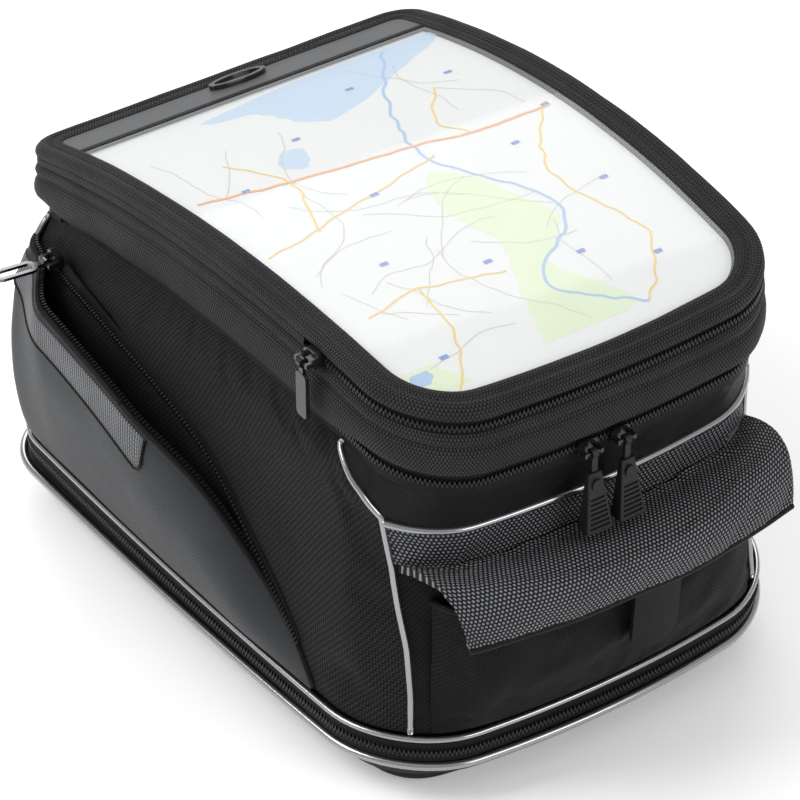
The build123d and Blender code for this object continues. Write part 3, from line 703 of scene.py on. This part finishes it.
def make_walls():
    rear, band = PANELS["rear"][:WALL_ROWS], PANELS["rear"][WALL_ROWS - 1:]
    wall_panel("left_wall", PANELS["left"], "side", "side_fabric", "left_side_panel", cap=1.3,
               channel=True)
    wall_panel("right_wall", PANELS["right"], "side", "side_fabric", "right_side_panel", cap=1.3)
    wall_panel("front_wall", PANELS["front"], "panel", "panel_fabric", "front_panel")
    wall = wall_panel("rear_wall", rear, "mesh", "dot_mesh", "rear_panel", pressure=0.6, cap=1.5)
    wall.data.materials.append(MAT["panel"])
    for poly in wall.data.polygons:
        poly.material_index = int(poly.center.z < (MID_Z + 1) * MM)
    wall_panel("rear_band", band, "tape", "tape", "rear_zip_band", pressure=0.3, cap=1.0)
    inner = wall_grid(-5.2)
    shaped(surface("inner_lining", inner, MAT["lining"], wrap_cols=True, thick=0.7), "bag", "lining",
           "body_lining")
    for name, column in (("left_rear", PANELS["left"][:, -1]), ("left_front", PANELS["left"][:, 0]),
                         ("right_rear", PANELS["right"][:, 0]), ("right_front", PANELS["right"][:, -1])):
        out = unit((column - CENTRE) * (1, 1, 0))
        cord = tube(f"corner_cord_{name}", column + out * 0.4, PIPE_R - 0.6, out, MAT["silver"])
        shaped(cord, "bag", "silver_piping", "corner_piping")
    rim = PANELS["rear"][WALL_ROWS - 1]
    out = unit((rim - CENTRE) * (1, 1, 0))
    cord = tube("rim_cord", rim + out * 0.6, PIPE_R - 0.4, UP, MAT["silver"])
    shaped(cord, "bag", "silver_piping", "rim_piping")


def make_handle():
    turn = np.linspace(-1, 1, 41)
    x = 47.0 * turn
    y = 163.0 + 22.0 * ramp(1 - np.abs(turn), 0.08, 0.95)
    rows = []
    for edge, lift in ((-12, 0.0), (-11, 0.5), (-4, 0.3), (4, 0.3), (11, 0.5), (12, 0.0)):
        rows.append(np.c_[x, y + lift, np.full(41, 112.0 + edge)])
    shaped(surface("handle_webbing", np.array(rows), MAT["webbing"], thick=2.4), "bag", "webbing",
           "carry_handle")
    for s in (-1, 1):
        z, x = np.meshgrid(np.linspace(97, 127, 9), s * 49 + np.linspace(-12, 12, 9), indexing="ij")
        patch = np.stack([x, 162.6 + 1.4 * ramp(12.2 - abs(x - s * 49), 0, 2.0), z], -1)
        shaped(surface(f"handle_patch_{'left' if s < 0 else 'right'}", patch, MAT["webbing"], thick=1.6),
               "bag", "webbing")


# ---- lid ------------------------------------------------------------------------------------------------
def fold_blend(obj):
    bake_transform(obj)
    return obj


BORDER_PROFILE = [(-13.2, 2.6), (-12.6, 1.4), (-11.2, 0.6), (-9.4, 0.3), (-7.6, 0.5), (-6.6, 1.2),
                  (-5.6, 0.2), (-4.2, -0.7), (-2.4, -0.8), (-0.8, 0.0), (0.4, 1.8), (0.8, 3.8), (0.5, 5.8),
                  (-0.6, 7.2), (-2.6, 7.6), (-7.0, 7.2), (-11.5, 6.4), (-13.0, 4.6)]
LID_WALL_PROFILE = [(-4.6, 13.4), (-2.4, 12.8), (-0.4, 13.0), (0.9, 14.4), (1.5, 16.6), (1.1, 18.8),
                    (0.0, 20.2), (-0.4, 20.9), (0.8, 21.8), (2.0, 24.2), (2.6, 27.6), (2.6, 31.2),
                    (1.9, 34.2), (0.6, 35.8), (-1.0, 36.0), (-2.6, 34.8), (-4.6, 33.0), (-5.0, 24.0)]


def ring_range(y_low=None, y_high=None):
    """Samples of the lid's outline behind y_high, in order along the ring."""
    y = outline(LID)[:, 1]
    if y_high is not None:
        first = LEFT[0] + np.nonzero(y[LEFT[0]:] < y_high)[0][0]
        last = RIGHT[0] + np.nonzero(y[RIGHT[0]:RIGHT[1]] < y_high)[0][-1]
        return np.r_[first:ROUND, 0:last + 1]
    first = RIGHT[0] + np.nonzero(y[RIGHT[0]:RIGHT[1]] > y_low)[0][0]
    last = LEFT[0] + np.nonzero(y[LEFT[0]:] > y_low)[0][-1]
    return np.r_[first:last + 1]


def lid_path(grow, depth, samples):
    """Path round the lid with the direction out of its side and the one across it, upwards."""
    path = lid_rows([(grow, depth)])[0][samples]
    lower = lid_rows([(grow, depth + 1)])[0][samples]
    along = unit(np.gradient(path, axis=0))
    across = unit(path - lower)
    return path, unit(np.cross(along, across)), across


def lid_zip(name, depth, top, low, grow, samples, bodies, nodes):
    for part, body, edge, side, node in (("upper", bodies[0], top, 1, nodes[0]),
                                         ("lower", bodies[1], low, -1, nodes[1])):
        inner = depth - 0.2 * side
        profile = [(grow - 1.2, edge), (grow, edge), (grow, inner), (grow - 0.8, inner)]
        tape = surface(f"{name}_tape_{part}", lid_rows(profile)[:, samples], MAT["tape"], thick=0.9)
        path, out, across = lid_path(grow, depth, samples)
        chain = zip_teeth(f"{name}_teeth_{part}", path, out, across, side, MAT["coil"])
        shaped(tape, body, "coil_zip", node)
        shaped(chain, body, "coil_zip")


def rain_flap(grid):
    """Makes the lid's rim reach further down along its sides, and keeps it flat over the hinge."""
    depth = np.array([p[1] for p in LID_WALL_PROFILE])[:, None]
    proud = np.array([max(0.0, p[0] + 0.4) for p in LID_WALL_PROFILE])[:, None]
    reach = ramp(grid[:, :, 1], -132, -98) * ramp(depth, 22, 34)
    grid = grid.copy()
    grid[:, :, 2] -= 6.0 * reach * (1 - ramp(grid[:, :, 1], 120, 150))
    grid[:, :, 1] -= proud * ramp(grid[:, :, 1], 156, 163)
    return grid


def make_lid():
    border = surface("map_border", rough(lid_rows(BORDER_PROFILE), 0.25, 30.0, 3), MAT["ribs"],
                     wrap_rows=True, wrap_cols=True)
    dressed(fold_blend(border), "side_fabric", "lid_border", "map_flap_border", fill=0.8)
    wall = surface("lid_rim", rough(rain_flap(lid_rows(LID_WALL_PROFILE)), 0.5, 38.0, 9), MAT["ribs"],
                   wrap_rows=True, wrap_cols=True)
    shaped(wall, "lid", "side_fabric", "lid_wall", fill=0.7)
    front = ring_range(y_low=FOLD_Y + 2)
    skirt = lid_rows([(-0.8, 6.4), (0.1, 8.0), (0.2, 11.0), (-0.6, 13.6)])[:, front]
    shaped(surface("border_skirt", skirt, MAT["ribs"], thick=1.5), "lid", "side_fabric")
    lid_zip("map_zip", MAP_ZIP, 7.0, 13.6, -0.6, ring_range(y_high=FOLD_Y - 1), ("map_flap", "lid"),
            ("map_zip_upper", "map_zip_lower"))
    lid_zip("main_zip", MAIN_ZIP, 35.6, 50.6, -3.4, ring_range(y_high=132), ("lid", "bag"),
            ("main_zip_upper", "main_zip_lower"))
    profile = [(-3.0, 34.5), (-3.6, 38.0), (-4.4, 43.0), (-4.2, 47.0), (-3.6, 51.0)]
    hinge = lid_rows(profile)[:, ring_range(y_low=133)]
    strip = surface("hinge_strip", hinge, MAT["tape"], thick=1.5)
    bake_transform(strip)
    dressed(strip, "tape", "lid_hinge_strip")


def make_window():
    rear_y, front_y = -157.2, 150.2
    film = surface("window_film", lid_area(-BORDER, 2.2, rear_y, STRIP_Y + 2.0, 120), MAT["film"])
    dressed(fold_blend(film), "window_film", "window_rear", "window_front")
    grid = lid_area(-BORDER, 1.7, STRIP_Y, front_y, 26)
    strip = surface("front_strip_cloth", grid, MAT["strip"], thick=1.6)
    shaped(strip, "lid", "grey_strip", "front_strip")
    edge = lid_area(-BORDER, 1.5, STRIP_Y, STRIP_Y + 3.2, 5, 60)
    shaped(surface("strip_binding", edge, MAT["tape"], thick=0.8), "lid", "tape")
    pad = surface("map_cushion", lid_area(-BORDER - 0.2, 6.0, rear_y, front_y, 60), MAT["panel"], thick=7.4)
    shaped(pad, "lid", "panel_fabric", "map_pad", fill=0.9)
    board = surface("lid_lining", lid_area(-5.4, 14.2, -164, 157, 60), MAT["lining"], thick=4.4)
    shaped(board, "lid", "lining", "lid_panel", fill=0.9)


def thread_rows():
    """Stitch lines on the border and the lid's rim."""
    for name, grow, depth, body in (("border_outer", -6.6, 1.0, None), ("border_inner", -9.9, 0.5, None),
                                    ("rim_fold", -0.3, 20.6, "lid")):
        path = lid_rows([(grow, depth)])[0]
        path = np.vstack([path, path[:1]])
        out = UP if body is None else unit((path - CENTRE) * (1, 1, 0))
        row = stitches(f"stitches_{name}", path, out, MAT["thread"])
        if body is None:
            fold_blend(row)
        else:
            shaped(row, body, "side_fabric")


# ---- printed map ----------------------------------------------------------------------------------------
PAPER = 4.9
LAKE = [(66, 3, 7), (73, -5, 28), (78, -9, 37), (90, -12, 58), (102, -17, 80), (107, -36, 90),
        (113, -42, 96), (120, 0, 104), (123, 30, 96)]
POND = [(32, -34, -30), (37, -40, -27), (43, -41, -24), (50, -36, -23), (53, -33, -27)]
PARK = [(-143, -21, 24), (-139, -19, 34), (-120, -13, 24), (-108, -9, 16), (-98, -5, 13), (-88, -1, 24),
        (-73, 4, 38), (-58, -1, 34), (-45, -4, 30), (-28, -2, 25), (-20, 0, 20), (-9, 8, 12)]
TARN = [(-139, -84, -78), (-135, -86, -74), (-130, -83, -76)]
GROVE = [(-146, -82, -60), (-138, -92, -66), (-128, -86, -72)]
MOTORWAY = [(-90, 35), (-41, 24), (15, 16), (45, 9), (90, 7)]
RIVER = [(68, 118), (48, 86), (26, 44), (16, 0), (38, -49), (38, -77), (10, -100), (6, -117), (37, -143)]
ROADS = [[(90, 12), (67, -17), (54, -50), (66, -104)], [(-90, -26), (-70, -22), (-17, -8), (20, 2)],
         [(-78, -90), (-47, -84), (-5, -94)], [(60, 60), (40, 30), (45, 9)],
         [(-60, 60), (-46, 24), (-60, -22)], [(66, -104), (50, -130), (37, -143)],
         [(-47, -84), (-52, -120), (-70, -150)]]
SIGNS = [(-66, 31), (-20, 60), (30, 90), (74, 70), (88, 9), (56, -12), (-22, -10), (30, -100), (72, -60),
         (-50, -60), (-10, -84), (60, -118), (-64, -128)]


def on_paper(xy, lift):
    xy = np.asarray(xy, float)
    return np.c_[xy, dome_z(xy[:, 1], PAPER) + lift]


def printed_area(name, spans, material, lift):
    """A coloured area given by its left and right edges at several y."""
    table = np.array(spans, float)
    y = np.arange(table[0, 0], table[-1, 0], 1.6)
    rows = []
    for value in y:
        wobble = noise.noise(Vector((value / 5, 0, 3))) * 1.6
        left = np.interp(value, table[:, 0], table[:, 1]) + wobble
        right = np.interp(value, table[:, 0], table[:, 2]) - noise.noise(Vector((value / 4, 7, 0))) * 1.8
        rows.append(on_paper([(left + (right - left) * t, value) for t in np.linspace(0, 1, 12)], lift))
    return printed_piece(surface(name, np.array(rows), MAT[material]))


def printed_line(name, points, width, material, lift, wander=1.2):
    """A coloured line through points, with a natural wander."""
    path = smooth(points, 14)
    path += np.array([(noise.noise(Vector((x / 9, y / 9, 1))), noise.noise(Vector((x / 9, y / 9, 8))))
                      for x, y in path]) * wander
    along = unit(np.gradient(path, axis=0))
    across = np.c_[-along[:, 1], along[:, 0]] * width / 2
    rows = [on_paper(path + across, lift), on_paper(path - across, lift)]
    return printed_piece(surface(name, np.array(rows), MAT[material]))


def printed_piece(obj):
    up = sum(poly.normal.z for poly in obj.data.polygons)
    if up < 0:
        obj.data.flip_normals()
    return shaped(obj, "lid", "map_paper")


def make_map():
    grid = lid_area(-BORDER - 1.5, PAPER, -155.0, STRIP_Y + 1, 110)
    paper = surface("map_paper_sheet", grid, MAT["paper"])
    shaped(paper, "lid", "map_paper", "map_sheet")
    prints = [printed_area(name, spans, material, lift) for name, spans, material, lift in (
        ("lake", LAKE, "water", 0.06), ("pond", POND, "water", 0.06), ("park", PARK, "park", 0.06),
        ("grove", GROVE, "park", 0.06), ("tarn", TARN, "river", 0.10))]
    random.seed(7)
    for i in range(26):
        x, y = random.uniform(-84, 84), random.uniform(-145, 60)
        turn = random.uniform(0, math.pi)
        lane = [(x, y)]
        for _ in range(random.randint(3, 5)):
            turn += random.uniform(-0.6, 0.6)
            x, y = x + 17 * math.cos(turn), y + 17 * math.sin(turn)
            if abs(x) < 86 and -148 < y < 118:
                lane.append((x, y))
        if len(lane) > 2:
            prints.append(printed_line(f"lane_{i:02d}", lane, 0.45, "lane", 0.10))
    prints.append(printed_line("river", RIVER, 1.5, "river", 0.14, 2.2))
    for i, road in enumerate(ROADS):
        prints.append(printed_line(f"road_{i}", road, 0.95, "road", 0.18, 2.0))
    prints.append(printed_line("motorway", MOTORWAY, 1.7, "motorway", 0.22))
    prints.append(printed_line("motorway_centre", MOTORWAY, 0.6, "road", 0.26))
    for i, (x, y) in enumerate(SIGNS):
        rows = [on_paper([(x - 2.1, y + k), (x, y + k), (x + 2.1, y + k)], 0.3) for k in (-1.2, 0, 1.2)]
        prints.append(printed_piece(surface(f"sign_{i:02d}", np.array(rows), MAT["sign"])))


# ---- side pockets ---------------------------------------------------------------------------------------
POCKET_EDGE = [(-103, 46), (-85, 68), (-54, 95), (-20, 121), (25, 138), (70, 147), (114, 150), (149, 150)]
POCKET_FRONT = 148.8
SPLIT_Y = 25.0


def pocket_edge_z(y):
    curve = smooth(POCKET_EDGE, 12)
    return np.interp(y, curve[:, 0], curve[:, 1])


def pocket_offset(y, v, gap):
    """Distance of the pocket's face from the wall at y, where v is 0 at its foot and 1 at its edge."""
    front = np.sqrt(max(0.0, 1 - (max(0.0, y - 136.0) / 13.0) ** 2))
    tip = ramp(y, -103, -50)
    belly = 9.0 * np.sin(math.pi * np.clip(v, 0, 1)) ** 0.7
    opening = gap * ramp(y, -78, 22) * (1 - ramp(y, 92, 138))
    return 0.4 + front * (2.4 + (belly + 2.4 * v) * tip + opening * np.clip(v, 0, 1) ** 1.5)


def pocket_grid(y0, y1, v0, v1, gap, cols, rows=30, lift=0.0):
    """Face of the left pocket between two y, from v0 to v1 of its height, lift outside its surface."""
    grid = np.zeros((rows, cols, 3))
    for c, y in enumerate(np.linspace(y0, y1, cols)):
        v = np.linspace(v0(y) if callable(v0) else v0, v1, rows)
        z = POCKET_FOOT + v * (pocket_edge_z(y) - POCKET_FOOT)
        x = wall_x(min(y, 147.5), z) + pocket_offset(y, v, gap) + lift
        grid[:, c] = np.c_[-x, np.full(rows, y), z]
    return grid


STRIP_REAR = 4.0         # rear end of the reflective strip under the mouth's edge


def strip_foot(y):
    """Share of the pocket's height at which the reflective strip starts: it widens to the rear."""
    width = 12.0 + 11.0 * (146.0 - y) / 142.0
    width *= math.sqrt(max(0.0, 1 - (max(0.0, STRIP_REAR + 8.0 - y) / 8.0) ** 2))
    return 0.975 - width / (float(pocket_edge_z(y)) - POCKET_FOOT)


def mirrored(grid, x_side):
    return grid * (1, 1, 1) if x_side < 0 else grid * (-1, 1, 1)


def mouth_blend(obj):
    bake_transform(obj)
    return obj


def make_pocket(side, x_side, gap):
    halves = (("rear", -103.0, SPLIT_Y, 56), ("front", SPLIT_Y, POCKET_FRONT, 70))
    for half, y0, y1, cols in halves:
        grid = rough(pocket_grid(y0, y1, 0.0, 1.0, gap, cols), 0.35, 34.0, 5)
        mouth_blend(surface(f"{side}_pocket_{half}", mirrored(grid, x_side), MAT["pocket"],
                                          thick=2.0))
    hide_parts(f"{side}_pocket_shell", f"{side}_pocket_mouth")
    for half, y0, y1, cols in halves:
        edge = pocket_grid(y0, y1, 1.0, 1.0, gap, cols, rows=1)[0]
        cord = tube(f"{side}_pocket_hem_{half}", mirrored(edge + (1.2, 0, 0), x_side), 1.7, UP, MAT["tape"])
        mouth_blend(cord)
        inner = mirrored(edge + (2.6, 0, 0.9), x_side)
        chain = zip_teeth(f"{side}_pocket_coil_{half}", inner, UP, np.array((x_side * -1.0, 0, 0)), 1,
                          MAT["coil"])
        mouth_blend(chain)
    strip = pocket_grid(STRIP_REAR, 145.5, strip_foot, 0.975, gap, 60, 12, 0.5)
    mouth_blend(surface(f"{side}_pocket_strip", mirrored(strip, x_side), MAT["pale_ribs"], thick=0.6))
    rim = np.vstack([strip[::-1, 0], strip[0, 1:]])
    mouth_blend(tube(f"{side}_pocket_seam", mirrored(rim, x_side), 0.8, np.array((1.0, 0, 0)), MAT["tape"]))
    make_wall_zip(side, x_side)
    make_pocket_lining(side, x_side, gap)


def make_wall_zip(side, x_side):
    """The zip half that is sewn to the wall, above the pocket's edge."""
    y = np.linspace(-92, 116, 90)
    rows = []
    for up, out in ((6.4, 0.8), (6.0, 2.4), (1.8, 2.8), (0.8, 2.2)):
        z = pocket_edge_z(y) + up
        rows.append(np.array([(-wall_x(a, b) - out, a, b) for a, b in zip(y, z)]))
    tape = surface(f"{side}_pocket_wall_tape", mirrored(np.array(rows), x_side), MAT["tape"], thick=1.0)
    shaped(tape, "bag", "coil_zip", "pocket_zips")
    path = mirrored(rows[2] - (0.2, 0, 0), x_side)
    chain = zip_teeth(f"{side}_pocket_wall_coil", path, np.array((float(x_side), 0, 0)),
                      np.array((0, 0, 1.0)), 1, MAT["coil"])
    shaped(chain, "bag", "coil_zip")


def make_pocket_lining(side, x_side, gap):
    """Fabric at the open mouth's bottom, so that the pocket is a bag and not a slot."""
    for half, y0, y1 in (("rear", -46.0, SPLIT_Y), ("front", SPLIT_Y, 108.0)):
        y = np.linspace(y0, y1, 28)
        rows = []
        for drop, share in ((2.0, 0.92), (14.0, 0.9), (30.0, 0.8), (38.0, 0.45), (34.0, 0.12)):
            z = pocket_edge_z(y) - drop
            row = []
            for a, b in zip(y, z):
                v = (b - POCKET_FOOT) / (pocket_edge_z(a) - POCKET_FOOT)
                reach = pocket_offset(a, v, gap) - 2.4
                row.append((-wall_x(a, b) - max(0.3, reach * share), a, b))
            rows.append(np.array(row))
        grid = mirrored(np.array(rows), x_side)
        cloth = surface(f"{side}_pocket_inner_{half}", grid, MAT["panel"], thick=0.5)
        mouth_blend(cloth)


def rear_wall_y(x, z):
    """y of the rear wall at x and z."""
    t = np.clip((z - WALL_FOOT) / (MID_Z - WALL_FOOT), 0, 1)
    half, y0, b = (BASE[k] + (MID[k] - BASE[k]) * t for k in ("rear", "y0", "rear_b"))
    return y0 - b * (1 - (x / half) ** 2)


def make_rear_pocket():
    x = np.linspace(-1, 1, 97)
    rows = []
    for v in np.linspace(0, 1, 34):
        z = 43.0 + 73.0 * v
        half = 91.0 - 4.0 * v
        reach = (2.0 + 19.0 * v + 5.0 * math.sin(math.pi * v)) * (1 - np.abs(x) ** 6) ** 0.6
        rows.append(np.c_[half * x, rear_wall_y(half * x, z) + 4.0 * x ** 8 - 0.6 - reach, np.full(97, z)])
    grid = swell(np.array(rows), 1.2, 3.5)
    for index in np.ndindex(grid.shape[:2]):
        px, _, pz = grid[index]
        fold = noise.fractal(Vector((px / 26, pz / 60, 4)), 1.0, 2.0, 2)
        grid[index][1] += 2.0 * fold * math.sin(math.pi * min(1, (pz - 43) / 73))
    pocket = surface("rear_pocket_cloth", grid, MAT["panel"], thick=2.0)
    shaped(pocket, "bag", "panel_fabric", "rear_pocket_face", "rear_pocket_gusset", fill=0.4)
    hem = tube("rear_pocket_hem", grid[-1], 1.6, UP, MAT["tape"])
    shaped(hem, "bag", "panel_fabric")


HOOD_MIDDLE = [(0, 0), (8, 2.5), (16, 4), (23, 3.8), (28.5, 1.2), (32.5, -5), (34.2, -14), (34, -23)]
HOOD_END = [(0, 0), (9, 4.0), (18, 6.4), (25, 6.0), (31, 2.6), (35, -3.5), (38, -12), (40, -21)]


def make_flap():
    """The hood over the rear pocket: a rolled shell that follows the rear wall's curve."""
    middle, end = smooth(HOOD_MIDDLE, 5), smooth(HOOD_END, 5)
    x = np.linspace(-1, 1, 101)
    levels = PANELS["rear"][:WALL_ROWS]
    crease = levels[np.argmin(np.abs(levels[:, 42, 2] - CREASE_Z))]
    grid = np.zeros((len(middle), len(x), 3))
    for c, t in enumerate(x):
        blend = abs(t) ** 2.2
        section = middle * (1 - blend) + end * blend
        crease_y = np.interp(HOOD_HALF * t, crease[:, 0], crease[:, 1]) - 1.0
        spread = (crease_y + HOOD_REACH - 9.0 * t * t) / section[-1][0]
        for r, (out, up) in enumerate(section):
            half = HOOD_HALF - 7.0 * (r / len(section)) ** 1.6
            grid[r, c] = (half * t, crease_y - out * spread, CREASE_Z + up)
    held = grid.copy()
    grid = swell(grid, 0.9, 2.0)
    for index in np.ndindex(grid.shape[:2]):
        px, _, _ = held[index]
        share = index[0] / grid.shape[0]
        pleat = noise.fractal(Vector((px / 15, share * 2, 2)), 1.0, 2.0, 2) * 1.6 * math.exp(-share * 3)
        sag = noise.noise(Vector((px / 40, share * 1.5, 9))) * 1.3
        grid[index][2] += pleat + sag * share
        grid[index][1] += sag * 0.6
    flap = surface("rear_flap_hood", grid, MAT["mesh"], thick=3.4)
    shaped(flap, "rear_flap", "dot_mesh", "rear_flap", fill=0.5)
    hem = tube("rear_flap_hem", grid[-1] + (0, 1.4, 0), 2.0, UP, MAT["tape"])
    shaped(hem, "rear_flap", "tape")
    make_tab(grid)


def make_tab(grid):
    """The pull tab under the hood: a folded strip with a rounded end."""
    edge_y = grid[-1, 50, 1]
    z = np.linspace(116, 72, 20)
    rows = []
    for height in z:
        half = 13.0 * math.sqrt(max(0.12, 1 - (max(0.0, 82 - height) / 10.8) ** 2))
        x = 9.0 + np.linspace(-half, half, 13)
        y = edge_y + 2.2 + 0.06 * (116 - height) - 0.8 * np.cos((x - 9) / 9)
        rows.append(np.c_[x, y, np.full(13, height)])
    strip = surface("pull_tab_strip", np.array(rows), MAT["tape"], thick=2.4)
    shaped(strip, "rear_flap", "tape", "pull_tab")


# ---- hard parts kept from the frame ---------------------------------------------------------------------
KEPT = {
    "plastic": ["base_tray", "base_board", "ring_adapter", "latch"],
    "webbing": ["release_strap"],
    "steel": ["adapter_screws", "adapter_nuts"],
    "badge": ["oval_badge"],
    "enamel": ["main_slider_left", "main_slider_right", "map_slider", "expansion_slider",
               "left_pocket_slider", "right_pocket_slider", "map_puller", "expansion_puller"],
    "rubber": ["main_puller_left", "main_puller_right"],
    "bright": ["left_pocket_puller", "right_pocket_puller"],
}


def dress_hard_parts():
    for key, names in KEPT.items():
        for name in names:
            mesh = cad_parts[name].data
            mesh.materials.clear()
            mesh.materials.append(MAT[key])


# ---- stage ----------------------------------------------------------------------------------------------
def area_light(name, place, aim, size, power):
    data = bpy.data.lights.new(name, "AREA")
    data.shape = "RECTANGLE"
    data.size, data.size_y = size
    data.energy = power
    obj = bpy.data.objects.new(name, data)
    obj.location = place
    obj.rotation_euler = (Vector(aim) - Vector(place)).to_track_quat("-Z", "Y").to_euler()
    bpy.context.collection.objects.link(obj)


def make_stage():
    floor = make_object("floor", [(-4000, -4000, 0), (4000, -4000, 0), (4000, 4000, 0), (-4000, 4000, 0)],
                        [[0, 1, 2, 3]])
    if floor.data.polygons[0].normal.z < 0:
        floor.data.flip_normals()
    paint = Nodes("studio_floor", (0.95, 0.95, 0.95), 0.8, Specular_IOR_Level=0.1, Emission_Strength=0.16)
    paint.shader.inputs["Emission Color"].default_value = (1, 1, 1, 1)
    floor.data.materials.append(paint.material)
    world = bpy.data.worlds.new("studio")
    world.use_nodes = True
    world.node_tree.nodes["Background"].inputs[0].default_value = (1, 1, 1, 1)
    world.node_tree.nodes["Background"].inputs[1].default_value = 0.62
    bpy.context.scene.world = world
    area_light("key", (-1.3, 0.5, 1.5), (0, 0, 0.1), (1.0, 1.0), 22)
    area_light("rear_fill", (0.5, -1.9, 1.2), (0, 0, 0.1), (1.2, 0.8), 13)
    area_light("window_glow", (0.9, 1.6, 1.5), (0, 0, 0.22), (1.8, 1.0), 16)


def make_camera():
    data = bpy.data.cameras.new("camera")
    data.sensor_width = 36.0
    data.lens = 181.2
    data.clip_end = 20
    camera = bpy.data.objects.new("camera", data)
    turn = Matrix.Rotation(math.radians(-33.81), 4, "Z") @ Matrix.Rotation(math.radians(52.03), 4, "X")
    camera.matrix_world = Matrix.Translation((-0.857, -1.2775, 1.2943)) @ turn @ Matrix.Rotation(
        math.radians(-0.23), 4, "Z")
    bpy.context.collection.objects.link(camera)
    bpy.context.scene.camera = camera
    bpy.context.scene.view_settings.view_transform = "Standard"


make_base()
make_walls()
make_handle()
make_lid()
make_window()
make_map()
thread_rows()
make_pocket("left", -1, 18.0)
make_pocket("right", 1, 0.8)
make_rear_pocket()
make_flap()
dress_hard_parts()
make_stage()
make_camera()
